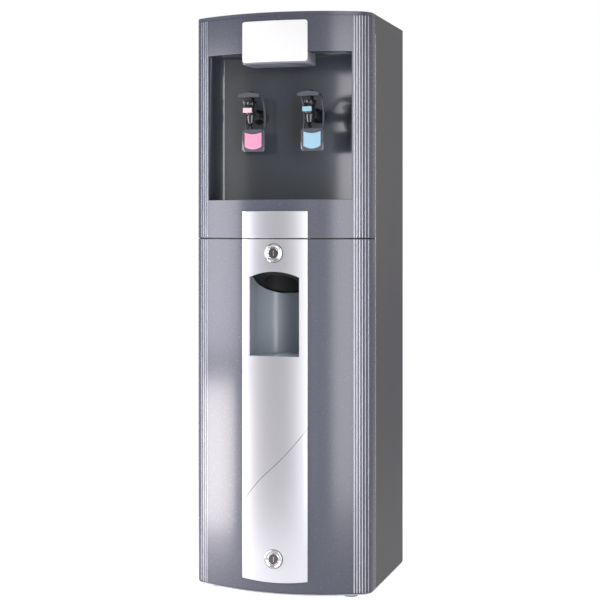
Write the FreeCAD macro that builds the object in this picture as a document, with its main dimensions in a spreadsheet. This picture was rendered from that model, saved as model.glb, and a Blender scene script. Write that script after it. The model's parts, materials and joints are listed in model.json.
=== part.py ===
import FreeCAD, Part
import math
import os

import Sketcher

# Bottom load water cooler. Millimetres, +Z up. X runs to the viewer's right, the bowed front faces -Y,
# and the origin is the middle of the footprint on the floor.

V = FreeCAD.Vector
os.makedirs("parts", exist_ok=True)
doc = FreeCAD.newDocument("water_cooler")

# ---------------------------------------------------------------- driving sizes
SIZES = (
    ("body_width", 352, "over the side panels"),
    ("body_depth", 334, "from the front of the bow to the rear panel"),
    ("total_height", 1108, "floor to the top of the cover"),
    ("bow_radius", 344, "plan radius of the bowed front"),
    ("corner_radius", 32, "plan radius of the two front corners"),
    ("rear_radius", 15, "plan radius of the two rear corners"),
    ("skin", 3, "wall of the mouldings"),
    ("sheet_wall", 1.2, "sheet steel of the panels"),
    ("flange", 10, "depth of the stiffening flanges inside the mouldings"),
    ("foot_height", 8, "rubber feet"),
    ("foot_radius", 15, "rubber feet"),
    ("foot_inset", 42, "foot axis in from the sides and the rear"),
    ("foot_front", 62, "axis of the front feet behind the front of the bow"),
    ("base_wall", 2, "steel base plate"),
    ("door_gap", 1, "door above the base plate"),
    ("door_drop", 429.5, "upper edge of the door below the top"),
    ("seam", 2, "open seam round the door and before the side panels"),
    ("return_depth", 88, "mouldings reach this far back round the corners"),
    ("ledge_drop", 354.5, "ledge under the dispensing alcove, below the top"),
    ("header_drop", 75.4, "upper edge of the alcove, below the top"),
    ("rim_height", 7, "plain rim of the top cover over the front"),
    ("skirt_height", 37, "skirt of the top cover over the sides"),
    ("groove_radius", 1.2, "half round grooves of the ribbed corners"),
    ("groove_inset", 27.9, "first groove in from the side"),
    ("groove_pitch", 4.7, "from groove to groove"),
    ("strip_half", 64.6, "half width of the silver strip"),
    ("strip_proud", 2.5, "silver strip proud of the bow"),
    ("strip_low", 24.6, "lower end of the door strip above the door's lower edge"),
    ("strip_drop", 376.5, "upper end of the upper strip, below the top"),
    ("niche_half", 49, "half width of the niche"),
    ("sill_drop", 651, "floor of the niche, below the top"),
    ("niche_side", 149, "straight sides of the niche window"),
    ("niche_rise", 11, "rise of the arched top of the niche window"),
    ("niche_straight", 37, "straight depth of the niche before its round back"),
    ("niche_drop", 32, "fall of the niche's top edge from front to back"),
    ("liner_wall", 2.5, "wall of the inner liners"),
    ("lock_radius", 17.5, "bezel of the door locks"),
    ("lock_inset_top", 26.5, "upper lock below the door's upper edge"),
    ("lock_inset_low", 63, "lower lock above the door's lower edge"),
    ("plug_radius", 9, "key plug"),
    ("bezel_proud", 3, "lock bezels proud of the strip"),
    ("fit_gap", 0.3, "between a seated piece and its neighbour"),
    ("pin_gap", 0.05, "radial clearance of pins and shafts"),
    ("hinge_inset", 7.85, "door hinge axis in from the left side"),
    ("hinge_lead", 7.2, "door hinge axis ahead of the centre of its corner"),
    ("hinge_radius", 3, "door hinge pins"),
    ("cam_length", 40, "lock cams, axis to tip"),
    ("cam_depth", 22, "front face of the lock cams behind the front of the bow"),
    ("cam_wall", 2, "lock cams"),
    ("alcove_side", 32, "sides of the alcove in from the sides"),
    ("alcove_depth", 112, "back wall of the alcove at its middle"),
    ("alcove_bow", 362, "plan radius of the alcove's back wall"),
    ("alcove_corner", 24, "plan radius of the alcove's rear corners"),
    ("nose_half", 64.5, "half width of the canopy over the taps"),
    ("nose_depth", 70, "canopy over the taps, from the front of the bow"),
    ("nose_drop", 97, "underside of the canopy, below the top"),
    ("badge_foot", 94, "lower edge of the badge plate, below the top"),
    ("badge_head", 16, "upper edge of the badge plate, below the top"),
    ("badge_radius", 5, "corners of the badge plate"),
    ("base_inset", 1, "base plate and strikes behind the mouldings"),
    ("well_half", 78, "half width of the drip tray's well"),
    ("well_front", 22, "front of the drip tray's well behind the bow"),
    ("well_length", 68, "front to back of the drip tray's well"),
    ("well_depth", 16, "depth of the drip tray's well"),
    ("groove_drop", 2, "height of the curved groove across the door strip"),
    ("groove_depth", 1, "depth of the curved groove across the door strip"),
    ("curl_high", 322, "right end of the curved groove, above the floor"),
    ("curl_mid", 235, "turning point of the curved groove, above the floor"),
    ("curl_low", 176, "left end of the curved groove, above the floor"),
    ("curl_side", 15, "turning point of the curved groove left of the middle"),
    ("curl_high_radius", 536, "upper bend of the curved groove"),
    ("curl_low_radius", 339, "lower bend of the curved groove"),
    ("tap_spacing", 119, "between the two taps"),
    ("tap_depth", 40, "tap nozzle axis behind the front of the bow"),
    ("spout_drop", 217.6, "open end of the nozzles, below the top"),
    ("barrel_radius", 9, "barrel that carries a tap through the wall"),
    ("barrel_lift", 26.6, "barrel axis above the nozzle's open end"),
    ("column_lift", 59.6, "top of the tap's column above the nozzle's open end"),
    ("bonnet_radius", 11.5, "bonnet of the taps"),
    ("stem_radius", 4, "valve stem"),
    ("lever_half", 21, "half width of the lever's top plate"),
    ("lever_offset", 8, "lever pivot in front of the stem"),
    ("rail_wall", 3, "side rails of the levers"),
    ("paddle_half", 22.5, "half width of the paddles"),
    ("paddle_height", 43, "paddles, lower to upper edge"),
    ("paddle_depth", 53, "front face of the paddles behind the bow"),
    ("paddle_wall", 4, "paddles"),
    ("insert_half", 17, "half width of the coloured inserts"),
    ("tank_depth", 236, "axis of the tanks behind the bow"),
    ("cup_length", 110, "cup tube"),
    ("cup_radius", 36, "cup tube"),
    ("cup_depth", 49, "middle of the cup tube's mouth behind the bow"),
    ("mouth_half", 51, "half width of the plate round the cup tube's mouth"),
    ("mouth_front", 8.5, "front edge of the mouth plate behind the bow"),
    ("probe_length", 380, "dip tube of the bottle probe"),
    ("cold_inset", 96, "axis of the cold tank in from the right side"),
    ("cold_radius", 70, "cold tank"),
    ("jacket_wall", 14, "foam round the cold tank"),
    ("hot_side", 90, "axis of the hot tank left of the middle"),
    ("hot_radius", 52, "hot tank"),
    ("tank_height", 205, "tanks above their deck"),
    ("compressor_side", 70, "compressor axis right of the middle"),
    ("compressor_radius", 68, "compressor shell"),
    ("compressor_room", 35, "open above the compressor, below the deck"),
    ("condenser_low", 70, "lowest run of the condenser, above the floor"),
    ("condenser_pitch", 48, "from run to run of the condenser"),
    ("condenser_half", 112, "half length of the condenser's straight runs"),
    ("shelf_drop", 535, "middle shelf, below the top"),
    ("deck_drop", 350, "deck that carries the tanks, below the top"),
    ("condenser_reach", 20, "condenser behind the rear panel"),
    ("tube_radius", 2.5, "condenser tube"),
    ("hose_radius", 4.5, "water hoses"),
    ("riser_inset", 176, "hose up to the cold tank in from the right side"),
)


class Term:
    """A cell of the sheet, or a sum or product of cells, as a formula to bind to and as its number."""

    def __init__(self, text, value):
        self.text = text
        self.value = value

    def join(self, sign, other, value):
        return Term(f"({self.text} {sign} {as_term(other).text})", value)

    def __add__(self, other):
        return self.join("+", other, self.value + as_term(other).value)

    def __sub__(self, other):
        return self.join("-", other, self.value - as_term(other).value)

    def __mul__(self, other):
        return self.join("*", other, self.value * as_term(other).value)

    def __truediv__(self, other):
        return self.join("/", other, self.value / as_term(other).value)

    def __radd__(self, other):
        return as_term(other) + self

    def __rsub__(self, other):
        return as_term(other) - self

    def __rmul__(self, other):
        return as_term(other) * self

    def __neg__(self):
        return as_term(0) - self


def as_term(value):
    return value if isinstance(value, Term) else Term(repr(float(value)), float(value))


def root(term):
    """Square root."""
    return Term(f"sqrt({term.text})", math.sqrt(term.value))


def arch(radius, across):
    """Fall of a circle of this radius at a distance across from its middle."""
    return radius - root(radius * radius - across * across)


class Cells:
    """The named cells, one attribute each."""


S = Cells()
sizes = doc.addObject("Spreadsheet::Sheet", "Sizes")
for row, (alias, value, note) in enumerate(SIZES, start=1):
    sizes.set(f"A{row}", alias)
    sizes.set(f"B{row}", str(value))
    sizes.set(f"C{row}", note)
    sizes.setAlias(f"B{row}", alias)
    setattr(S, alias, Term(f"Sizes.{alias}", float(value)))

places = doc.addObject("Spreadsheet::Sheet", "Places")
place_count = 0


def derived(alias, term, note):
    """Keeps a worked out place in its own cell and gives it back under its name."""
    global place_count
    place_count += 1
    places.set(f"A{place_count}", alias)
    places.set(f"B{place_count}", "=" + term.text.replace("Places.", ""))
    places.set(f"C{place_count}", note)
    places.setAlias(f"B{place_count}", alias)
    return Term(f"Places.{alias}", term.value)


half_width = derived("half_width", S.body_width / 2, "middle to the outside of a side")
front = derived(
    "front",
    (S.strip_proud + S.bezel_proud - S.body_depth - S.condenser_reach) / 2,
    "front of the bow, so that the footprint's middle is at zero",
)
rear = derived("rear", front + S.body_depth, "outside of the rear panel")
base_top = derived("base_top", S.foot_height + S.base_wall, "upper face of the base plate")
door_low = derived("door_low", base_top + S.door_gap, "lower edge of the door")
top = S.total_height
door_top = derived("door_top", top - S.door_drop, "upper edge of the door")
door_height = derived("door_height", door_top - door_low, "lower door")
upper_low = derived("upper_low", door_top + S.seam, "lower edge of the upper front frame")
frame_top = derived("frame_top", S.total_height - S.rim_height, "upper edge of the upper front frame")
ledge_height = derived("ledge_height", top - S.ledge_drop, "ledge under the dispensing alcove")
header_height = derived("header_height", top - S.header_drop, "upper edge of the alcove")
strip_top = derived("strip_top", top - S.strip_drop, "upper end of the upper strip")
niche_sill = derived("niche_sill", top - S.sill_drop, "floor of the niche")
nose_height = derived("nose_height", top - S.nose_drop, "underside of the canopy over the taps")
badge_low = derived("badge_low", top - S.badge_foot, "lower edge of the badge plate")
badge_high = derived("badge_high", top - S.badge_head, "upper edge of the badge plate")
spout_height = derived("spout_height", top - S.spout_drop, "open end of the nozzles")
shelf_height = derived("shelf_height", top - S.shelf_drop, "middle shelf")
deck_height = derived("deck_height", top - S.deck_drop, "deck that carries the tanks")
groove_first = derived("groove_first", half_width - S.groove_inset, "first groove from the middle")
alcove_half = derived("alcove_half", half_width - S.alcove_side, "half width of the alcove")
cold_side = derived("cold_side", half_width - S.cold_inset, "axis of the cold tank")
side_front = derived("side_front", S.return_depth + S.seam, "front edge of the side panels behind the bow")
corner_x = derived("corner_x", half_width - S.corner_radius, "centre of the front corners")
corner_rise = S.bow_radius - S.corner_radius
corner_y = derived(
    "corner_y",
    S.bow_radius - root(corner_rise * corner_rise - corner_x * corner_x),
    "centre of the front corners behind the front of the bow",
)
hinge_depth = derived("hinge_depth", corner_y - S.hinge_lead, "door hinge axis behind the front of the bow")
doc.recompute()


# ---------------------------------------------------------------- ways of making pieces
NODES = []


def node(item):
    """Marks a finished piece: its label is its name."""
    NODES.append(item)
    return item


def bind(item, prop, term):
    item.setExpression(prop, as_term(term).text)


def place(item, x=0, y=0, z=0):
    bind(item, "Placement.Base.x", x)
    bind(item, "Placement.Base.y", y)
    bind(item, "Placement.Base.z", z)
    return item


FACING_FRONT = 270
AXES = {"x": V(1, 0, 0), "y": V(0, 1, 0), "z": V(0, 0, 1), "-x": V(-1, 0, 0), "-y": V(0, -1, 0)}


def turned_to(item, axis):
    """Points the item's own Z along an axis."""
    item.Placement = FreeCAD.Placement(V(0, 0, 0), FreeCAD.Rotation(V(0, 0, 1), AXES[axis]))
    return item


def block(name, length, width, height, x, y, z):
    """A box from its low corner."""
    item = doc.addObject("Part::Box", name)
    bind(item, "Length", length)
    bind(item, "Width", width)
    bind(item, "Height", height)
    return place(item, x, y, z)


def rod(name, radius, height, x, y, z, axis="z"):
    item = turned_to(doc.addObject("Part::Cylinder", name), axis)
    bind(item, "Radius", radius)
    bind(item, "Height", height)
    return place(item, x, y, z)


def cone(name, radius, end_radius, height, x, y, z, axis="z"):
    item = turned_to(doc.addObject("Part::Cone", name), axis)
    bind(item, "Radius1", radius)
    bind(item, "Radius2", end_radius)
    bind(item, "Height", height)
    return place(item, x, y, z)


def fuse(name, *items):
    item = doc.addObject("Part::MultiFuse", name)
    item.Shapes = list(items)
    return item


def common(name, *items):
    item = doc.addObject("Part::MultiCommon", name)
    item.Shapes = list(items)
    return item


def cut(name, base, *tools):
    item = doc.addObject("Part::Cut", name)
    item.Base = base
    item.Tool = tools[0] if len(tools) == 1 else fuse(name + "_tools", *tools)
    return item


def group(name, items):
    """Separate solids under one name."""
    item = doc.addObject("Part::Compound", name)
    item.Links = list(items)
    return item


def tube(name, outer, inner, height, x, y, z, axis="z"):
    """A ring or pipe."""
    skin = rod(name + "_skin", outer, height, x, y, z, axis)
    bore = rod(name + "_bore", inner, height, x, y, z, axis)
    return cut(name, skin, bore)


# ---------------------------------------------------------------- sketches
def limit(sketch, kind, term, *where):
    """A dimension of a sketch, bound to its formula."""
    index = sketch.addConstraint(Sketcher.Constraint(kind, *where, as_term(term).value))
    sketch.setExpression(f"Constraints[{index}]", as_term(term).text)


def pin_point(sketch, geometry, end, x, y):
    limit(sketch, "DistanceX", x, -1, 1, geometry, end)
    limit(sketch, "DistanceY", y, -1, 1, geometry, end)


def plane_sketch(body, name, role, offset=0):
    sketch = body.newObject("Sketcher::SketchObject", name)
    plane = [item for item in body.Origin.OriginFeatures if item.Role == role][0]
    sketch.AttachmentSupport = (plane, "")
    sketch.MapMode = "FlatFace"
    bind(sketch, "AttachmentOffset.Base.z", offset)
    return sketch


def polygon(sketch, points):
    """A closed outline of straight edges through dimensioned corners."""
    ends = [V(as_term(x).value, as_term(y).value, 0) for x, y in points]
    lines = [sketch.addGeometry(Part.LineSegment(a, b), False) for a, b in zip(ends, ends[1:] + ends[:1])]
    for line, following, (x, y) in zip(lines, lines[1:] + lines[:1], points):
        sketch.addConstraint(Sketcher.Constraint("Coincident", line, 2, following, 1))
        pin_point(sketch, line, 1, x, y)


def circle(sketch, x, y, radius):
    centre = V(as_term(x).value, as_term(y).value, 0)
    ring = sketch.addGeometry(Part.Circle(centre, V(0, 0, 1), as_term(radius).value), False)
    pin_point(sketch, ring, 3, x, y)
    limit(sketch, "Radius", radius, ring)


def pad(body, name, sketch, length, both_ways=False):
    item = body.newObject("PartDesign::Pad", name)
    item.Profile = sketch
    item.Midplane = both_ways
    bind(item, "Length", length)
    return item


def pocket(body, name, sketch, length, reverse=False):
    item = body.newObject("PartDesign::Pocket", name)
    item.Profile = sketch
    item.Reversed = reverse
    bind(item, "Length", length)
    return item


def turned(name, points, x, y, z, axis="z"):
    """A body of revolution about its own Z through (radius, height) corners."""
    body = turned_to(doc.addObject("PartDesign::Body", name), axis)
    sketch = plane_sketch(body, name + "_profile", "XZ_Plane")
    polygon(sketch, points)
    spin = body.newObject("PartDesign::Revolution", name + "_turn")
    spin.Profile = sketch
    spin.ReferenceAxis = (sketch, ["V_Axis"])
    spin.Angle = 360
    return place(body, x, y, z)


def arc(sketch, centre, radius, start, end):
    """An arc from start to end degrees, anticlockwise."""
    ring = Part.Circle(centre, V(0, 0, 1), radius)
    return sketch.addGeometry(Part.ArcOfCircle(ring, math.radians(start), math.radians(end)), False)


def bowed_chain(sketch, way, radius, apex, corner, half, end):
    """Side, corner, bow, corner and side as one tangent chain. Way is 1 where the bow points to -Y."""
    hub_x = (half - corner).value
    spread = math.degrees(math.asin(hub_x / (radius - corner).value))
    hub_y = apex.value + way * (radius - (radius - corner) * math.cos(math.radians(spread))).value
    begin = 180 if way > 0 else 0
    bow_hub = V(0, apex.value + way * radius.value, 0)
    near_hub = V(-way * hub_x, hub_y, 0)
    far_hub = V(way * hub_x, hub_y, 0)
    near_low = V(-way * half.value, as_term(end).value, 0)
    far_low = V(way * half.value, as_term(end).value, 0)
    near = sketch.addGeometry(Part.LineSegment(near_low, V(near_low.x, hub_y, 0)), False)
    first = arc(sketch, near_hub, corner.value, begin, begin + 90 - spread)
    bow = arc(sketch, bow_hub, radius.value, begin + 90 - spread, begin + 90 + spread)
    last = arc(sketch, far_hub, corner.value, begin + 90 + spread, begin + 180)
    far = sketch.addGeometry(Part.LineSegment(V(far_low.x, hub_y, 0), far_low), False)
    chain = (near, first, bow, last, far)
    for one, other in zip(chain, chain[1:]):
        sketch.addConstraint(Sketcher.Constraint("Tangent", one, 2, other, 1))
    sketch.addConstraint(Sketcher.Constraint("PointOnObject", bow, 3, -2))
    limit(sketch, "DistanceY", apex + way * radius, -1, 1, bow, 3)
    limit(sketch, "Radius", radius, bow)
    limit(sketch, "Radius", corner, first)
    limit(sketch, "Radius", corner, last)
    pin_point(sketch, near, 1, -way * half, end)
    pin_point(sketch, far, 2, way * half, end)
    return chain


def join_ends(sketch, one, one_end, other, other_end):
    """A straight edge between two free ends."""
    start = sketch.getPoint(one, one_end)
    finish = sketch.getPoint(other, other_end)
    line = sketch.addGeometry(Part.LineSegment(start, finish), False)
    sketch.addConstraint(Sketcher.Constraint("Coincident", one, one_end, line, 1))
    sketch.addConstraint(Sketcher.Constraint("Coincident", line, 2, other, other_end))
    return line


def front_chain(sketch, offset, end):
    """The cooler's own plan outline, offset inwards, open at the back."""
    inset = as_term(offset)
    return bowed_chain(
        sketch, 1, S.bow_radius - inset, inset, S.corner_radius - inset, half_width - inset, end
    )


def wall_ring(sketch, outer, inner, end):
    """A wall that follows the bow between two offsets, open at the back."""
    outside = front_chain(sketch, outer, end)
    inside = front_chain(sketch, inner, end)
    join_ends(sketch, outside[0], 1, inside[0], 1)
    join_ends(sketch, outside[4], 2, inside[4], 2)


GROOVES = 6


def groove_spots():
    """Places of the grooves on one corner, outwards from the middle."""
    tangent_x = (corner_x * S.bow_radius / (S.bow_radius - S.corner_radius)).value
    spots = []
    for step in range(GROOVES):
        x = groove_first + S.groove_pitch * step
        on_bow = x.value < tangent_x
        if on_bow:
            y = arch(S.bow_radius, x)
        else:
            y = corner_y - S.corner_radius + arch(S.corner_radius, x - corner_x)
        spots.append((x, y))
    return spots


def add_grooves(body, name, length, low=0):
    """Half round grooves up both front corners."""
    sketch = plane_sketch(body, name, "XY_Plane", low)
    for x, y in groove_spots():
        circle(sketch, x, y, S.groove_radius)
        circle(sketch, -x, y, S.groove_radius)
    return pocket(body, name + "_cut", sketch, length, reverse=True)


def window(sketch, half, low, side, rise):
    """An opening with straight sides and an arched top."""
    ends = [V(-half.value, low.value + side.value, 0), V(-half.value, low.value, 0)]
    ends += [V(half.value, low.value, 0), V(half.value, low.value + side.value, 0)]
    lines = [sketch.addGeometry(Part.LineSegment(a, b), False) for a, b in zip(ends, ends[1:])]
    radius = (half * half + rise * rise) / (2 * rise)
    spread = math.degrees(math.asin(half.value / radius.value))
    hub = V(0, low.value + side.value + rise.value - radius.value, 0)
    top = arc(sketch, hub, radius.value, 90 - spread, 90 + spread)
    for one, other in ((lines[0], lines[1]), (lines[1], lines[2])):
        sketch.addConstraint(Sketcher.Constraint("Coincident", one, 2, other, 1))
    sketch.addConstraint(Sketcher.Constraint("Coincident", lines[2], 2, top, 1))
    sketch.addConstraint(Sketcher.Constraint("Coincident", top, 2, lines[0], 1))
    pin_point(sketch, lines[0], 1, -half, low + side)
    pin_point(sketch, lines[1], 1, -half, low)
    pin_point(sketch, lines[2], 1, half, low)
    pin_point(sketch, lines[2], 2, half, low + side)
    limit(sketch, "Radius", radius, top)


# ---------------------------------------------------------------- door mouldings
niche_low = derived("niche_low", niche_sill - door_low, "floor of the niche above the door's lower edge")
lock_high = derived("lock_high", door_height - S.lock_inset_top, "upper lock above the door's lower edge")
hinge_x = derived("hinge_x", S.hinge_inset - half_width, "door hinge axis")
flange_inner = derived("flange_inner", S.skin + S.flange, "inner edge of the stiffening flanges")


def add_flange(body, name, height, reach=None):
    """A stiffening flange round the inside of a moulding, its lower face at a height."""
    sketch = plane_sketch(body, name, "XY_Plane", height)
    wall_ring(sketch, S.skin - S.skin / 2, reach or flange_inner, S.return_depth)
    return pad(body, name + "_pad", sketch, S.skin)


def add_hinge_hole(body, name, height):
    """The door hinge's bore through a flange that starts at a height."""
    sketch = plane_sketch(body, name, "XY_Plane", height)
    circle(sketch, hinge_x, hinge_depth, S.hinge_radius + S.pin_gap)
    return pocket(body, name + "_cut", sketch, S.skin, reverse=True)


def make_door():
    body = doc.addObject("PartDesign::Body", "door_panel")
    wall = plane_sketch(body, "door_wall", "XY_Plane")
    wall_ring(wall, 0, S.skin, S.return_depth)
    pad(body, "door_skin", wall, door_height)
    add_flange(body, "door_foot_flange", 0)
    add_flange(body, "door_rib_low", door_height / 4)
    add_flange(body, "door_rib_high", door_height / 2)
    add_flange(body, "door_head_flange", door_height - S.skin)
    add_grooves(body, "door_grooves", door_height)
    opening = plane_sketch(body, "door_window", "XZ_Plane", S.skin)
    window(opening, S.niche_half, niche_low, S.niche_side, S.niche_rise)
    pocket(body, "door_window_cut", opening, S.niche_straight)
    locks = plane_sketch(body, "door_lock_holes", "XZ_Plane", S.skin)
    circle(locks, 0, S.lock_inset_low, S.plug_radius + S.liner_wall)
    circle(locks, 0, lock_high, S.plug_radius + S.liner_wall)
    pocket(body, "door_lock_cut", locks, flange_inner)
    add_hinge_hole(body, "door_low_hole", 0)
    add_hinge_hole(body, "door_high_hole", door_height - S.skin)
    return node(place(body, 0, front, door_low))


door_panel = make_door()


def full_plan(sketch, offset):
    """The whole plan of the cooler inside an offset, with its rear corners."""
    inset = as_term(offset)
    side_end = S.body_depth - S.rear_radius
    chain = front_chain(sketch, inset, side_end)
    radius = S.rear_radius - inset
    hub_x = (half_width - S.rear_radius).value
    hub_y = side_end.value
    right = arc(sketch, V(hub_x, hub_y, 0), radius.value, 0, 90)
    left = arc(sketch, V(-hub_x, hub_y, 0), radius.value, 90, 180)
    level = V(0, radius.value, 0)
    back = sketch.addGeometry(
        Part.LineSegment(V(hub_x, hub_y, 0) + level, V(-hub_x, hub_y, 0) + level), False
    )
    ends = ((chain[4], 2, right, 1), (right, 2, back, 1), (back, 2, left, 1), (left, 2, chain[0], 1))
    for one, one_end, other, other_end in ends:
        sketch.addConstraint(Sketcher.Constraint("Tangent", one, one_end, other, other_end))
    limit(sketch, "Radius", radius, right)
    limit(sketch, "Radius", radius, left)


def rectangle(sketch, left, right, low, high):
    polygon(sketch, ((left, low), (right, low), (right, high), (left, high)))


# ---------------------------------------------------------------- upper front frame
strike_front = derived("strike_front", S.cam_depth - S.fit_gap - S.sheet_wall, "front of the lock strikes")


def make_upper_frame():
    """Band, corner columns and header round the alcove in one moulding."""
    height = frame_top - upper_low
    sill = ledge_height - upper_low
    head = header_height - upper_low
    body = doc.addObject("PartDesign::Body", "upper_front_frame")
    wall = plane_sketch(body, "upper_wall", "XY_Plane")
    wall_ring(wall, 0, S.skin, S.return_depth)
    pad(body, "upper_skin", wall, height)
    add_flange(body, "upper_foot_flange", 0)
    add_flange(body, "upper_head_flange", height - S.skin)
    add_grooves(body, "upper_grooves", height)
    opening = plane_sketch(body, "alcove_window", "XZ_Plane", S.skin)
    rectangle(opening, -alcove_half, alcove_half, sill, head)
    pocket(body, "alcove_window_cut", opening, S.alcove_depth / 2)
    strike = plane_sketch(body, "upper_strike", "XY_Plane")
    rectangle(strike, -S.plug_radius, S.plug_radius, S.skin * 2, S.cam_depth - S.fit_gap)
    pad(body, "upper_strike_pad", strike, S.flange * 2)
    add_hinge_hole(body, "upper_hinge_hole", 0)
    return node(place(body, 0, front, upper_low))


def make_top_cover():
    """Top plate with a plain rim over the front frame and a skirt over the side panels."""
    body = doc.addObject("PartDesign::Body", "top_cover")
    plan = plane_sketch(body, "cover_plan", "XY_Plane")
    full_plan(plan, 0)
    pad(body, "cover_block", plan, S.skirt_height)
    hollow = plane_sketch(body, "cover_hollow", "XY_Plane")
    full_plan(hollow, S.skin)
    pocket(body, "cover_hollow_cut", hollow, S.skirt_height - S.skin, reverse=True)
    step = plane_sketch(body, "cover_step", "XY_Plane")
    rectangle(step, -S.body_width, S.body_width, -S.body_depth, side_front)
    pocket(body, "cover_step_cut", step, S.skirt_height - S.rim_height, reverse=True)
    return node(place(body, 0, front, S.total_height - S.skirt_height))


upper_front_frame = make_upper_frame()
top_cover = make_top_cover()


# ---------------------------------------------------------------- silver strips and badge plate
def bow_band(name, outer, inner, low, height):
    """A round band on the bow's own centre, from floor height low."""
    return tube(name, outer, inner, height, 0, front + S.bow_radius, low)


def front_sketch(name, y):
    """A free sketch in an upright plane, its own y up."""
    sketch = doc.addObject("Sketcher::SketchObject", name)
    sketch.Placement = FreeCAD.Placement(V(0, 0, 0), FreeCAD.Rotation(V(1, 0, 0), 90))
    return place(sketch, 0, y, 0)


def pushed(name, sketch, length):
    """A front sketch pushed straight back."""
    item = doc.addObject("Part::Extrusion", name)
    item.Base = sketch
    item.DirMode = "Custom"
    item.Dir = V(0, 1, 0)
    item.Solid = True
    bind(item, "LengthFwd", length)
    return item


def bend(sketch, start, finish, radius, below):
    """An arc from start to finish, left to right, its centre below or above the chord."""
    a = V(as_term(start[0]).value, as_term(start[1]).value, 0)
    b = V(as_term(finish[0]).value, as_term(finish[1]).value, 0)
    chord = b - a
    reach = math.sqrt(radius.value**2 - (chord.Length / 2) ** 2)
    side = V(chord.y, -chord.x, 0).normalize()
    if not below:
        side = side * -1
    hub = (a + b) * 0.5 + side * reach
    first, last = (b, a) if below else (a, b)
    start_angle = math.degrees(math.atan2(first.y - hub.y, first.x - hub.x))
    end_angle = math.degrees(math.atan2(last.y - hub.y, last.x - hub.x))
    ring = arc(sketch, hub, radius.value, start_angle, end_angle)
    near, far = (2, 1) if below else (1, 2)
    pin_point(sketch, ring, near, *start)
    pin_point(sketch, ring, far, *finish)
    limit(sketch, "Radius", radius, ring)
    return ring, near, far


def curl_tool():
    """The S of the groove: two tangent bends, thickened upwards."""
    sketch = front_sketch("curl_line", front - S.strip_proud * 2)
    reach = S.strip_half + S.skin
    upper = []
    for lift in (0, S.groove_drop):
        left = (-reach, S.curl_low + lift)
        middle = (-S.curl_side, S.curl_mid + lift)
        right = (reach, S.curl_high + lift)
        low = bend(sketch, left, middle, S.curl_low_radius, True)
        high = bend(sketch, middle, right, S.curl_high_radius, False)
        upper.append((low, high))
    (low, high), (low_lifted, high_lifted) = upper
    join_ends(sketch, low[0], low[1], low_lifted[0], low_lifted[1])
    join_ends(sketch, high[0], high[2], high_lifted[0], high_lifted[2])
    swept = pushed("curl_sweep", sketch, S.skin * 8)
    band = bow_band(
        "curl_band",
        S.bow_radius + S.strip_proud * 2,
        S.bow_radius + S.strip_proud - S.groove_depth,
        S.curl_low,
        S.curl_high - S.curl_low + S.groove_drop,
    )
    return common("curl_groove", swept, band)


def make_door_strip():
    low = door_low + S.strip_low
    blank = common(
        "door_strip_blank",
        bow_band("door_strip_band", S.bow_radius + S.strip_proud, S.bow_radius, low, door_top - low),
        block(
            "door_strip_box", S.strip_half * 2, S.flange * 3, door_top - low,
            -S.strip_half, front - S.skin, low,
        ),
    )
    sketch = front_sketch("strip_window", front - S.skin)
    window(sketch, S.niche_half, niche_sill, S.niche_side, S.niche_rise)
    arched = pushed("strip_window_cut", sketch, S.flange * 3)
    holes = [
        rod(
            f"strip_lock_hole_{name}", S.plug_radius + S.liner_wall, S.flange * 3, 0, front - S.skin, z, "y"
        )
        for name, z in (("low", door_low + S.lock_inset_low), ("high", door_low + lock_high))
    ]
    return node(cut("door_strip", blank, arched, curl_tool(), *holes))


def make_upper_strip():
    height = strip_top - upper_low
    band = bow_band("upper_strip_band", S.bow_radius + S.strip_proud, S.bow_radius, upper_low, height)
    width = S.strip_half * 2
    box = block("upper_strip_box", width, S.flange * 3, height, -S.strip_half, front - S.skin, upper_low)
    return node(common("upper_strip", band, box))


def rounded_sketch(sketch, half, low, high, radius):
    """An upright rectangle with round corners."""
    left, right, top = -half.value + radius.value, half.value - radius.value, high.value - radius.value
    foot = low.value + radius.value
    hubs = ((right, foot, 270), (right, top, 0), (left, top, 90), (left, foot, 180))
    corners = [arc(sketch, V(x, y, 0), radius.value, angle, angle + 90) for x, y, angle in hubs]
    for one, other in zip(corners, corners[1:] + corners[:1]):
        join_tangent(sketch, one, other)
    for ring, (x, y, _angle) in zip(corners, hubs):
        across = half - radius if x > 0 else radius - half
        pin_point(sketch, ring, 3, across, high - radius if y == top else low + radius)
        limit(sketch, "Radius", radius, ring)


def join_tangent(sketch, one, other):
    """A straight edge that runs smoothly from the end of one arc to the start of another."""
    start = sketch.getPoint(one, 2)
    finish = sketch.getPoint(other, 1)
    line = sketch.addGeometry(Part.LineSegment(start, finish), False)
    sketch.addConstraint(Sketcher.Constraint("Tangent", one, 2, line, 1))
    sketch.addConstraint(Sketcher.Constraint("Tangent", line, 2, other, 1))


def make_badge():
    height = badge_high - badge_low
    band = bow_band("badge_band", S.bow_radius + S.strip_proud, S.bow_radius, badge_low, height)
    sketch = front_sketch("badge_outline", front - S.skin)
    rounded_sketch(sketch, S.nose_half, badge_low, badge_high, S.badge_radius)
    return node(common("badge_plate", band, pushed("badge_push", sketch, S.flange * 3)))


door_strip = make_door_strip()
upper_strip = make_upper_strip()
badge_plate = make_badge()


# ---------------------------------------------------------------- niche and alcove liners
niche_back = derived("niche_back", S.niche_straight + S.niche_half, "back of the niche behind the bow")
niche_high = niche_sill + S.niche_side + S.niche_rise
niche_top = derived("niche_top", niche_high, "top edge of the niche at the bow")


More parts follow.
